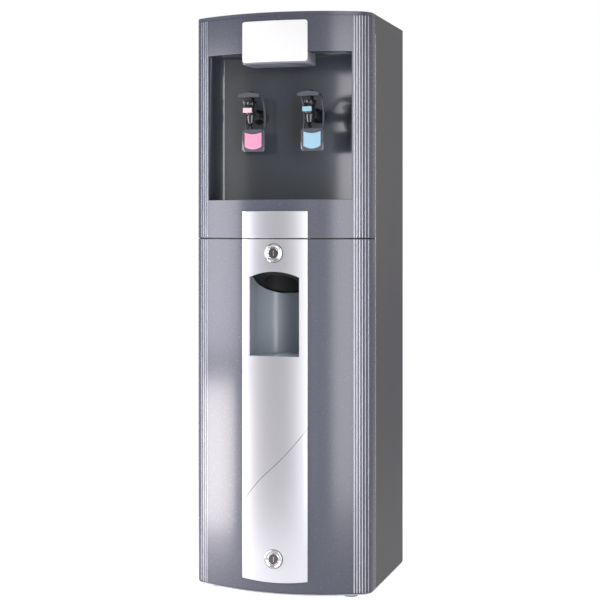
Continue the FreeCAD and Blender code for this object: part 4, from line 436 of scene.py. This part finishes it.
def half_lines(to_run, more=()):
    """Lines up to a run: every 2 degrees on the bow, close at the grooves, and the ones asked for."""
    lines = {round(BOW_RADIUS * math.radians(2) * step, 6) for step in range(1, 13)}
    for run in groove_runs:
        lines |= {round(run + way, 6) for way in (-GROOVE_EDGE, -GROOVE_HALF, GROOVE_HALF, GROOVE_EDGE)}
    lines |= {round((near + far) / 2, 6) for near, far in zip(groove_runs, groove_runs[1:])}
    lines |= {round(bow_run + corner_run * step / 12, 6) for step in range(9, 13)}
    lines |= set(more)
    chosen = sorted(line for line in lines if line < to_run - 0.1 * MM)
    spaced = [line for i, line in enumerate(chosen)
              if line in more or i == 0 or line - chosen[i - 1] > 0.05 * MM]
    return spaced + [to_run]


def both_ways(lines):
    return [-line for line in reversed(lines)] + [0.0] + list(lines)


print(len(both_ways(half_lines(half_run))), "lines across the front sheets")

# %% [markdown]
# The grooves are cut after the rims are soft, so that the bevel leaves them alone. Their floors take the
# second finish of the piece: a pale painted highlight, standing for the light that the ribs catch.

# %% Cutting the grooves
def beside_groove(run):
    return min(abs(abs(run) - groove) for groove in groove_runs)


def cut_grooves(shape):
    """Pushes the grooves in, and gives their floors the second finish of the piece."""
    for vert in shape.verts:
        if vert.co.z > -0.1 * MM and beside_groove(vert.co.x) < GROOVE_HALF + 0.02 * MM:
            vert.co.z -= GROOVE_DEPTH
    # The groove floors take the second finish, a painted highlight in the ribbed corners.
    for face in shape.faces:
        spot = face.calc_center_median()
        if beside_groove(spot.x) < GROOVE_HALF and abs(spot.z + GROOVE_DEPTH) < 0.3 * MM:
            face.material_index = 1


print(len(groove_runs), "grooves in each corner,", round(GROOVE_DEPTH / MM, 2), "mm deep")

# %% [markdown]
# A thin moulding this tall would twist, so real ones have flanges across the inside. Each flange is a
# narrow strip of the same plan line, thickened inwards. It is made apart and copied into the sheet's
# shape, so that the sheet's own edges aren't disturbed.

# %% A stiffening flange behind a sheet
SKIN = 3 * MM


def add_flange(shape, level, reach=13 * MM):
    lines = both_ways([bow_run * step / 8 for step in range(1, 9)]
                      + [bow_run + corner_run * step / 4 for step in range(1, 5)] + [half_run])
    flange = flat_sheet(lines, [level, level + SKIN])
    bmesh.ops.translate(flange, vec=(0, 0, -SKIN / 2), verts=flange.verts)
    thicken(flange, reach - SKIN / 2)
    form(flange)
    passing = bpy.data.meshes.new("flange")
    flange.to_mesh(passing)
    flange.free()
    shape.from_mesh(passing)
    bpy.data.meshes.remove(passing)


def ribbed_moulding(shape, name, body, node):
    """A formed sheet whose groove floors carry a painted highlight, as a piece that stands in for a
    construction piece.
    """
    piece = piece_from(shape, name, body, "charcoal")
    piece.data.materials.append(finishes["rib_painted_highlight"])
    shade(piece)
    bow_face = [(0, bow_middle.y, BOW_RADIUS)]
    bow_face += [(side * CORNER_X, CORNER_Y, CORNER_RADIUS) for side in (-1, 1)]
    true_walls(piece, bow_face)
    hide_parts(node)
    print(name, "has", len(piece.data.polygons), "faces")


print("walls and flanges:", round(SKIN / MM, 1), "mm")

# %% [markdown]
# The door is the largest moulding: a thin bowed sheet with a window for the niche and four flanges
# inside. A solid with a hollow would do from the front, but the door opens, and its back shows. Only its
# rims are softened, as the steel of the mould leaves them.

# %% Door
door_low, door_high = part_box("door_panel")[0][2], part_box("door_panel")[1][2]
FLANGE_STEP = 166.875 * MM
window_side, WINDOW_LOW, WINDOW_HIGH = run_at(50.5 * MM), 0.4555, 0.6185


def door_kept(run, level):
    return abs(run) > window_side or not WINDOW_LOW < level < WINDOW_HIGH


door = flat_sheet(both_ways(half_lines(half_run, more=(window_side,))),
                  [door_low, WINDOW_LOW, WINDOW_HIGH, door_high], door_kept)
thicken(door, SKIN)
soften(door, 0.6 * MM)
cut_grooves(door)
form(door)
for level in (door_low, door_low + FLANGE_STEP, door_low + 2 * FLANGE_STEP, door_high - SKIN):
    add_flange(door, level)
ribbed_moulding(door, "door_moulding", "door", "door_panel")

# %% [markdown]
# The upper frame is the same sheet with the wide mouth of the alcove. Its rims catch a thin line of
# light all round, so they get a slightly larger radius. Behind its lower edge stands the block that the
# upper lock's cam turns behind.

# %% Upper front frame
frame_low, frame_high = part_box("upper_front_frame")[0][2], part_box("upper_front_frame")[1][2]
mouth_side, SILL, HEAD = run_at(144 * MM), 753.5 * MM, 1032.6 * MM
STRIKE_SIZE, STRIKE_BACK = (18 * MM, 15.7 * MM, 20 * MM), 13.85 * MM


def frame_kept(run, level):
    return abs(run) > mouth_side or not SILL < level < HEAD


upper = flat_sheet(both_ways(half_lines(half_run, more=(mouth_side,))),
                   [frame_low, SILL, HEAD, frame_high], frame_kept)
thicken(upper, SKIN)
soften(upper, 0.8 * MM, segments=3)
cut_grooves(upper)
form(upper)
for level in (frame_low, frame_high - SKIN):
    add_flange(upper, level)
strike = bmesh.ops.create_cube(upper, size=1)["verts"]
bmesh.ops.scale(upper, vec=STRIKE_SIZE, verts=strike)
bmesh.ops.translate(upper, vec=(0, BOW_FRONT + STRIKE_BACK, frame_low + STRIKE_SIZE[2] / 2), verts=strike)
ribbed_moulding(upper, "upper_frame_moulding", "cabinet", "upper_front_frame")

# %% [markdown]
# The silver strip is a second, narrower sheet on the door, 2.5 mm proud. A fine curved groove crosses its
# lower half. It has two bends, one each side of a turning point, and each bend is a straight rise with a
# little sag or crown added. Written as a level for each run, it can be followed by any row of points.

# %% The line of the curved groove
STRIP_PROUD = 2.5 * MM
STRIP_HALF_MM, TURNING_X = 64.6, -15
CURL_LOW, CURL_MID, CURL_HIGH = 176, 235, 322
UPPER_SAG, LOWER_CROWN = 19.2, 13.6


def groove_level(run):
    x = BOW_RADIUS * math.sin(run / BOW_RADIUS) / MM
    if x > TURNING_X:
        share = (x - TURNING_X) / (STRIP_HALF_MM - TURNING_X)
        return (CURL_MID + (CURL_HIGH - CURL_MID) * share - UPPER_SAG * share * (1 - share)) * MM
    share = (x + STRIP_HALF_MM) / (TURNING_X + STRIP_HALF_MM)
    return (CURL_LOW + (CURL_MID - CURL_LOW) * share + LOWER_CROWN * share * (1 - share)) * MM


print("the groove rises to", round(groove_level(run_at(STRIP_HALF_MM * MM)) / MM, 1), "mm at the right")

# %% [markdown]
# The strip's sheet is cut with straight rows first: its lower edge, three close rows for the groove, and
# the sill and head of the niche's window. Then whole rows are moved: the lower edge onto a shallow arch,
# the three onto the groove's line, and the head onto the arch of the window. Cutting the curves with a
# Boolean would leave ragged faces beside them.

# %% The sheet of the door strip
strip_side, niche_side = run_at(STRIP_HALF_MM * MM), run_at(49 * MM)
NICHE_SILL, NICHE_HEAD, NICHE_RISE, LOCK_ROW = 0.457, 0.606, 11 * MM, 0.65
ARCH_RADIUS = (49 ** 2 + 11 ** 2) / 22 * MM
GROOVE_ROW, ROW_GAP = 250 * MM, 0.8 * MM
strip_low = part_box("door_strip")[0][2]
strip_lines = both_ways([niche_side * step / 16 for step in range(1, 17)]
                        + [niche_side + (strip_side - niche_side) * share for share in (0.45, 1)])
strip_levels = [strip_low, GROOVE_ROW - ROW_GAP, GROOVE_ROW, GROOVE_ROW + ROW_GAP,
                NICHE_SILL, NICHE_HEAD, LOCK_ROW, door_high]
strip = flat_sheet(strip_lines, strip_levels,
                   lambda run, level: abs(run) > niche_side or not NICHE_SILL < level < NICHE_HEAD)
for vert in strip.verts:
    if vert.co.y < strip_low + 0.01 * MM:
        vert.co.y -= (2 + 4.4 * (1 - (vert.co.x / strip_side) ** 2)) * MM
    elif abs(vert.co.y - GROOVE_ROW) < 1.5 * MM:
        vert.co.y += groove_level(vert.co.x) - GROOVE_ROW
    elif abs(vert.co.y - NICHE_HEAD) < 0.01 * MM and abs(vert.co.x) < niche_side - 0.01 * MM:
        across = BOW_RADIUS * math.sin(vert.co.x / BOW_RADIUS)
        vert.co.y += math.sqrt(ARCH_RADIUS ** 2 - across ** 2) - (ARCH_RADIUS - NICHE_RISE)
print("strip sheet:", len(strip.faces), "cells")

# %% [markdown]
# The real strip is moulded and then lacquered silver, so its rims are rounder than the door's. Once they
# are soft, the middle row of the groove is pushed in, and the faces beside it take a darker grey: a
# painted shadow, since so fine a groove shows only by its shadow. The same few calls finish every silver
# plate.

# %% The door strip
def silver_plate(shape, name, body, node, finish="silver", groove_shade_finish=None):
    """A formed sheet in silver or pearl, as a piece that stands in for a construction piece."""
    piece = piece_from(shape, name, body, finish)
    if groove_shade_finish:
        piece.data.materials.append(finishes[groove_shade_finish])
    shade(piece)
    true_walls(piece, [(0, bow_middle.y, BOW_RADIUS + STRIP_PROUD)])
    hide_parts(node)
    print(name, "has", len(piece.data.polygons), "faces")


thicken(strip, STRIP_PROUD)
soften(strip, 0.8 * MM, segments=3)
for vert in strip.verts:
    if vert.co.z > -1.7 * MM and abs(vert.co.y - groove_level(vert.co.x)) < 0.3 * MM:
        vert.co.z -= 0.8 * MM
# The faces beside the groove's middle row take the painted shadow.
for face in strip.faces:
    spot = face.calc_center_median()
    if abs(spot.y - groove_level(spot.x)) < 0.8 * MM and spot.z > -1.2 * MM:
        face.material_index = 1
form(strip, STRIP_PROUD)
silver_plate(strip, "door_strip_plate", "door", "door_strip", groove_shade_finish="groove_painted_shade")

# %% [markdown]
# The strip goes on over the seam, as a short plate of its own on the upper frame. It has the same lines,
# so its edges and reflections run on from the door's strip.

# %% The strip on the upper frame
top_strip = flat_sheet(strip_lines, [frame_low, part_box("upper_strip")[1][2]])
thicken(top_strip, STRIP_PROUD)
soften(top_strip, 0.8 * MM, segments=3)
form(top_strip, STRIP_PROUD)
silver_plate(top_strip, "upper_strip_plate", "cabinet", "upper_strip")

# %% [markdown]
# The badge plate over the taps is plain pearl lacquer with rounded corners and a fine line along its
# foot. On the flat sheet its four corner points are bevelled first, then the rim, so that the soft edge
# runs round the corners too. A bevel of points alone needs a flat outline, which is why it comes first.

# %% Badge plate
badge_side = run_at(64.5 * MM)
badge_low, badge_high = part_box("badge_plate")[0][2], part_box("badge_plate")[1][2]
FINE_LINE = badge_low + 9.5 * MM
badge = flat_sheet(both_ways([badge_side * share for share in (0.3, 0.6, 0.85, 1)]),
                   [badge_low, FINE_LINE - ROW_GAP, FINE_LINE, FINE_LINE + ROW_GAP, badge_high])
corners = [vert for vert in badge.verts if len(vert.link_edges) == 2]
bmesh.ops.bevel(badge, geom=corners, offset=5 * MM, offset_type="OFFSET", segments=6, profile=0.5,
                affect="VERTICES", clamp_overlap=False, material=-1)
thicken(badge, STRIP_PROUD)
soften(badge, 0.9 * MM, segments=3, least_degrees=70)
for vert in badge.verts:
    if abs(vert.co.y - FINE_LINE) < 0.1 * MM and vert.co.z > -0.1 * MM:
        vert.co.z -= 0.5 * MM
form(badge, STRIP_PROUD)
silver_plate(badge, "badge_plate_bare", "cabinet", "badge_plate", finish="badge_silver")

# %% [markdown]
# Between the door and the upper frame is a 2 mm seam. A black strip on the door's top edge, set back a
# little, is painted shade: it closes the seam to the eye, so that it shows as one fine dark line. Without
# it the lit inside glints through. It is one more sheet on the plan line, and it rides on the door.

# %% Painted shade in the seam
seam_shade = flat_sheet(both_ways([half_run * step / 24 for step in range(1, 25)]),
                  [door_high + 0.05 * MM, frame_low - 0.25 * MM])
thicken(seam_shade, 5 * MM)
form(seam_shade, -1.6 * MM)
# A black sheet that paints the seam's shade.
seam_shade_piece = piece_from(seam_shade, "door_seam_shade", "door", "rubber_black")
shade(seam_shade_piece)
print("seal height:", round((frame_low - door_high) / MM - 0.3, 2), "mm")

# %% [markdown]
# The other pieces keep the construction model's shape. Where one has round walls whose middles are
# known, such as the alcove and the niche, each corner of a face takes the wall's true direction, so a
# reflection runs across it without steps. Smoothing by angle alone would smear it over the flat walls.

# %% Skins with true round walls
ALCOVE_BOW, ALCOVE_DEPTH, ALCOVE_HALF, ALCOVE_CORNER, LINER = 0.362, 0.112, 0.144, 0.024, 2.5 * MM
NICHE_RADIUS, NICHE_STRAIGHT = 0.049, 0.037
alcove_hub = BOW_FRONT + ALCOVE_DEPTH - ALCOVE_BOW
alcove_corner_x = ALCOVE_HALF - ALCOVE_CORNER
alcove_corner_y = alcove_hub + math.sqrt((ALCOVE_BOW - ALCOVE_CORNER) ** 2 - alcove_corner_x ** 2)
bow_walls = [(0, bow_middle.y, BOW_RADIUS - depth * MM) for depth in (-2.5, 0, 1, 3, 13)]
corner_walls = [(side * CORNER_X, CORNER_Y, CORNER_RADIUS - depth * MM)
                for side in (-1, 1) for depth in (0, 1, 3, 13)]
alcove_walls = [(0, alcove_hub, ALCOVE_BOW + wall) for wall in (0, LINER)]
alcove_walls += [(side * alcove_corner_x, alcove_corner_y, ALCOVE_CORNER + wall)
                 for side in (-1, 1) for wall in (0, LINER)]
niche_walls = [(0, BOW_FRONT + NICHE_STRAIGHT, NICHE_RADIUS + wall) for wall in (0, LINER)]
round_skins = {"alcove_liner": ("alcove", alcove_walls + bow_walls),
               "alcove_ledge": ("alcove", alcove_walls + bow_walls),
               "niche_liner": (None, niche_walls + bow_walls),
               "top_cover": (None, bow_walls + corner_walls),
               "nose_canopy": ("nose", bow_walls + corner_walls),
               "base_plate": (None, bow_walls + corner_walls)}
for node, (finish, walls) in round_skins.items():
    true_walls(smooth_skin(node, finish), walls)
print(len(round_skins), "skins with round walls")

# %% [markdown]
# The top cover's long sides lie over the side sheets. In the photograph no seam shows there, so those
# faces take the enamel of the sheets. A second finish on chosen faces does this without a second piece.

# %% Sides of the top cover
cover = bpy.data.objects["top_cover_skin"].data
cover.materials.append(finishes["side_paint"])
for face in cover.polygons:
    if abs(face.normal.x) > 0.9 and face.center.y > BOW_FRONT + 80 * MM:
        face.material_index = 1
print(sum(face.material_index for face in cover.polygons), "faces of the cover are enamelled")

# %% [markdown]
# All the pieces that are left, the taps and the works inside and behind, are right as they are and need
# only a welded skin. Their finish is that of their slot, apart from a few that the photograph shows in
# another one, such as the paler tabs on the taps and the worn key plugs.

# %% Skins of all the pieces that are left
remade = {"door_panel", "upper_front_frame", "door_strip", "upper_strip", "badge_plate",
          "lock_bezel_upper", "lock_bezel_lower"}
own_finish = {"lock_plug_upper": "worn_nickel", "lock_plug_lower": "worn_nickel",
              "cup_tube": "tube_black", "hot_tab": "pale_pink", "cold_tab": "pale_teal",
              "hot_lever": "lever_grey", "cold_lever": "lever_grey", "feet": "glide_nylon"}
left_over = [node for node in frame["nodes"] if node not in remade and node not in round_skins]
for node in left_over:
    smooth_skin(node, own_finish.get(node))
print(len(left_over), "plain skins")

# %% [markdown]
# The cup tube leans back, and its mouth hangs over the niche. In the photograph the black mouth reaches
# a little lower at the back than in the construction model. Both rims there, the tube's and the niche's,
# move down together on the copies, by a share that grows towards the back, so they still meet.

# %% Lower rims of the tube and the niche
NICHE_TOP, NICHE_FALL, NICHE_DEPTH, MORE_FALL = 0.617, 0.032, 0.086, 13 * MM


def lower_rim(piece, reach):
    """Moves the points that lie close to the slanting rim down by their share."""
    moved = 0
    for vert in piece.data.vertices:
        depth = vert.co.y - BOW_FRONT
        over = vert.co.z - (NICHE_TOP - NICHE_FALL * depth / NICHE_DEPTH)
        if -0.5 * MM < over < reach and depth > 4 * MM:
            vert.co.z -= MORE_FALL * depth / NICHE_DEPTH
            moved += 1
    piece.data.update()
    print(piece.name, "rim points moved:", moved)


lower_rim(bpy.data.objects["niche_liner_skin"], 0.8 * MM)
lower_rim(bpy.data.objects["cup_tube_skin"], 9 * MM)

# %% [markdown]
# A cam lock's bezel is turned and chromed brass: a rounded flange, a dished face and a raised inner
# ring. It could be stacked from cylinders, but a turned part is one profile spun round its axis, as the
# lathe made it. The profile is a short list of (radius, height) in mm. A thin black ring under the flange
# is painted shade: it draws the dark line of shadow round the bezel.

# %% Turned parts
def turned(profile, middle, facing=(0, -1, 0), steps=48):
    """Spins (radius, height) points round an axis through a place, with the heights along facing."""
    shape = bmesh.new()
    facing = Vector(facing)
    side = Vector((0, 0, 1))
    points = [shape.verts.new(Vector(middle) + side * r * MM + facing * h * MM) for r, h in profile]
    edges = [shape.edges.new(pair) for pair in zip(points, points[1:])]
    bmesh.ops.spin(shape, geom=points + edges, cent=middle, axis=facing, angle=math.tau, steps=steps,
                   use_merge=True)
    bmesh.ops.remove_doubles(shape, verts=shape.verts, dist=0.004 * MM)
    bmesh.ops.recalc_face_normals(shape, faces=shape.faces)
    return shape


BEZEL = ((9.2, -0.6), (17.2, -0.6), (17.5, 0.3), (17.5, 1.4), (17.2, 2.1), (16.5, 2.7), (15.6, 3.0),
         (14.9, 2.9), (14.4, 2.4), (13.2, 1.2), (12.2, 0.9), (11.4, 1.0), (11.0, 1.6), (10.6, 1.9),
         (10.0, 1.9), (9.5, 1.6), (9.2, 1.0), (9.2, -0.6))
# The black ring under the flange paints the shadow round the bezel.
SHADE_RING = ((14.0, -0.5), (18.4, -0.5), (18.4, 0.35), (17.9, 0.5), (14.0, 0.5), (14.0, -0.5))
print("bezel profile:", len(BEZEL), "points")

# %% [markdown]
# Both locks are the same part, placed where the construction model has them, so one loop makes both. The
# chrome ring keeps its inner edges sharp up to 50 degrees, because polishing leaves them.

# %% Lock rings and their painted shadow rings
for place in ("upper", "lower"):
    low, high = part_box(f"lock_bezel_{place}")
    middle = Vector((0, low[1] + 3 * MM, (low[2] + high[2]) / 2))
    bezel = piece_from(turned(BEZEL, middle), f"{place}_lock_ring", "door", "lock_steel")
    shade(bezel, 50)
    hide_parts(f"lock_bezel_{place}")
    # A black ring under the flange paints its shadow line.
    shade_ring = piece_from(turned(SHADE_RING, middle), f"{place}_lock_shade_ring", "door", "rubber_black")
    shade(shade_ring)
    print(place, "lock at level", round(middle.z / MM, 1), "mm")

# %% [markdown]
# The side sheets' front edges are folded over a bright rolled bead, which shows as the fine light line
# behind the front moulding. It fills the seam, flush with both. A circle raised to the height of the
# sheets is enough: the fold itself is hidden.

# %% Bright beads in the side seams
bead_back = BOW_FRONT + 90 * MM
BEAD_RADIUS, BEAD_FOOT, BEAD_HEIGHT = 1.05 * MM, 11 * MM, 1060 * MM
for name, side in (("left", -1), ("right", 1)):
    bead = bmesh.new()
    bmesh.ops.create_circle(bead, cap_ends=True, segments=16, radius=BEAD_RADIUS)
    foot = (side * (HALF_WIDTH - 1.1 * MM), bead_back - 0.9 * MM, BEAD_FOOT)
    bmesh.ops.translate(bead, vec=foot, verts=bead.verts)
    raised = bmesh.ops.extrude_face_region(bead, geom=bead.faces[:])
    bmesh.ops.translate(bead, vec=(0, 0, BEAD_HEIGHT),
                        verts=[item for item in raised["geom"] if isinstance(item, bmesh.types.BMVert)])
    bmesh.ops.recalc_face_normals(bead, faces=bead.faces)
    shade(piece_from(bead, f"{name}_seam_bead", "cabinet", "side_paint", "seam_metal"))
print("seam beads end at y", round(bead_back, 4))

# %% [markdown]
# Pan head screws hold the rear panel to the side sheets. They are turned like the lock rings: a low
# domed head with a dimple for the driver. They are too small for a cross slot to show.

# %% Screws at the back
SCREW_HEAD = ((0, 0.7), (0.9, 0.7), (1.3, 1.5), (2.1, 1.7), (3.0, 1.3), (3.6, 0.5), (3.6, -0.6), (0, -0.6))
SCREW_LEVELS = (0.06, 0.53, 0.70, 0.93)
rear_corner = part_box("rear_panel")[1]
screw_x = rear_corner[0] - 7 * MM
screw_spots = [(side * screw_x, level) for side in (-1, 1) for level in SCREW_LEVELS]
for number, (x, level) in enumerate(screw_spots):
    head = turned(SCREW_HEAD, Vector((x, rear_corner[1], level)), facing=(0, 1, 0), steps=20)
    shade(piece_from(head, f"rear_screw_{number}", "cabinet", "zinc"))
print(len(screw_spots), "screws", round(screw_x / MM, 1), "mm from the middle")

# %% [markdown]
# The camera stands level, a little to the right, about 2.8 m away, with a long lens, as for a catalogue
# picture: uprights stay parallel. A tilt would frame the cooler too, but it makes them lean together, so
# a small shift down does it instead. Place, lens and shift were fitted to the photograph's outline.

# %% Camera
camera = bpy.data.objects.new("camera", bpy.data.cameras.new("camera"))
bpy.context.scene.collection.objects.link(camera)
camera.data.sensor_width = 36.0
camera.data.lens = 85.33
camera.data.shift_x = -0.0025
camera.data.shift_y = -0.1193
camera.location = (0.8314, -2.7317, 0.6988)
camera.rotation_euler = (math.radians(90), 0, math.radians(16.9))
bpy.context.scene.camera = camera
print("camera at", [round(v, 3) for v in camera.location])

# %% [markdown]
# Tall soft boxes stand close to the cooler, left and right. Their upright reflections in the bow are the
# bright bands of the photograph, and the strip's darker middle is the gap between them. The left one is
# in two parts, the lower nearer and brighter, as the band there widens and brightens downwards. A narrow
# faint one fills in from the front, one lights the right side, and one overhead the top and the rims.
# A lamp's energy is worked out from its area, so that a brightness of 1 is that of a white wall.

# %% Lamps
def soft_box(name, turn_degrees, distance, foot, size, brightness, colour):
    """A box at a turn round the cooler (0 in front, more to the right), aimed level at its middle."""
    lamp = bpy.data.objects.new(name, bpy.data.lights.new(name, "AREA"))
    bpy.context.scene.collection.objects.link(lamp)
    lamp.data.shape = "RECTANGLE"
    lamp.data.size, lamp.data.size_y = size
    lamp.data.color = linear(colour)[:3]
    lamp.data.energy = brightness * math.pi * size[0] * size[1]
    turn = math.radians(turn_degrees)
    lamp.location = (distance * math.sin(turn), -distance * math.cos(turn), foot + size[1] / 2)
    lamp.rotation_euler = (math.radians(90), 0, turn)
    return lamp


soft_box("left_low_box", -54.5, 0.68, 0.01, (0.3, 0.34), 12.5, "#FFF9F7")
soft_box("left_box", -53.5, 0.86, 0.4, (0.44, 0.72), 5.8, "#F9F7FF")
soft_box("right_box", 32.5, 1.0, 0.01, (0.3, 1.22), 6.0, "#FBFAFF")
soft_box("front_box", 9, 1.0, 0.01, (0.2, 1.1), 1.2, "#FFFFFF")
soft_box("side_box", 97, 1.2, 0.01, (0.4, 1.2), 2.2, "#FBFAFF")
top = soft_box("top_box", 0, 0.4, 2.0, (2.0, 2.0), 1.0, "#FFFFFF")
top.rotation_euler = (0, 0, 0)
print("lamps:", len(bpy.data.lights))

# %% [markdown]
# The floor is plain and pale, and runs far back. To the camera it is white, but it still takes the
# cooler's shadow: only a part of its brightness is its own, the rest is the lamps' light on it. Gloss and
# metal see it a little brighter than it is lit, so the silver's edges stay pale near the floor. More
# light would whiten it too, but it would bleach the cooler.

# %% Floor
ground = bmesh.new()
bmesh.ops.create_grid(ground, x_segments=1, y_segments=1, size=20)
floor_mesh = bpy.data.meshes.new("floor")
ground.to_mesh(floor_mesh)
ground.free()
floor = bpy.data.objects.new("floor", floor_mesh)
bpy.context.scene.collection.objects.link(floor)
floor_finish = bpy.data.materials.new("pale_studio_floor")
floor_finish.use_nodes = True
tree = floor_finish.node_tree
floor_shader = tree.nodes["Principled BSDF"]
floor_shader.inputs["Base Color"].default_value = linear("#DCDCDC")
floor_shader.inputs["Roughness"].default_value = 0.8
rays = add(tree, "ShaderNodeLightPath")
for_camera = add(tree, "ShaderNodeMath", {"operation": "MULTIPLY", 1: 0.87},
                 {0: rays.outputs["Is Camera Ray"]})
and_gloss = add(tree, "ShaderNodeMath", {"operation": "MULTIPLY_ADD", 1: 0.15},
                {0: rays.outputs["Is Glossy Ray"], 2: for_camera.outputs["Value"]})
floor_shader.inputs["Emission Color"].default_value = linear("#FFFFFF")
tree.links.new(and_gloss.outputs["Value"], floor_shader.inputs["Emission Strength"])
floor_mesh.materials.append(floor_finish)
print("floor:", round(floor.dimensions.x), "m wide")

# %% [markdown]
# Round it all is plain white. The camera sees it at full strength. What is seen in gloss and metal is
# kept at a little under half strength, as the dim room behind a photographer is: the silver needs a
# darker middle. What falls on the dull surfaces is weaker still, so the lamps give them their shape. The
# light path tells these rays apart, which a plain background colour could not.

# %% White surroundings
world = bpy.data.worlds.new("studio")
bpy.context.scene.world = world
world.use_nodes = True
sky = world.node_tree
rays = add(sky, "ShaderNodeLightPath")
for_gloss = add(sky, "ShaderNodeMath", {"operation": "MULTIPLY_ADD", 1: 0.25, 2: 0.2},
                {0: rays.outputs["Is Glossy Ray"]})
strength = add(sky, "ShaderNodeMath", {"operation": "MAXIMUM"},
               {0: rays.outputs["Is Camera Ray"], 1: for_gloss.outputs["Value"]})
sky.links.new(strength.outputs["Value"], sky.nodes["Background"].inputs["Strength"])
sky.nodes["Background"].inputs["Color"].default_value = linear("#FFFFFF")
bpy.context.scene.view_settings.view_transform = "Standard"
print("view transform:", bpy.context.scene.view_settings.view_transform)
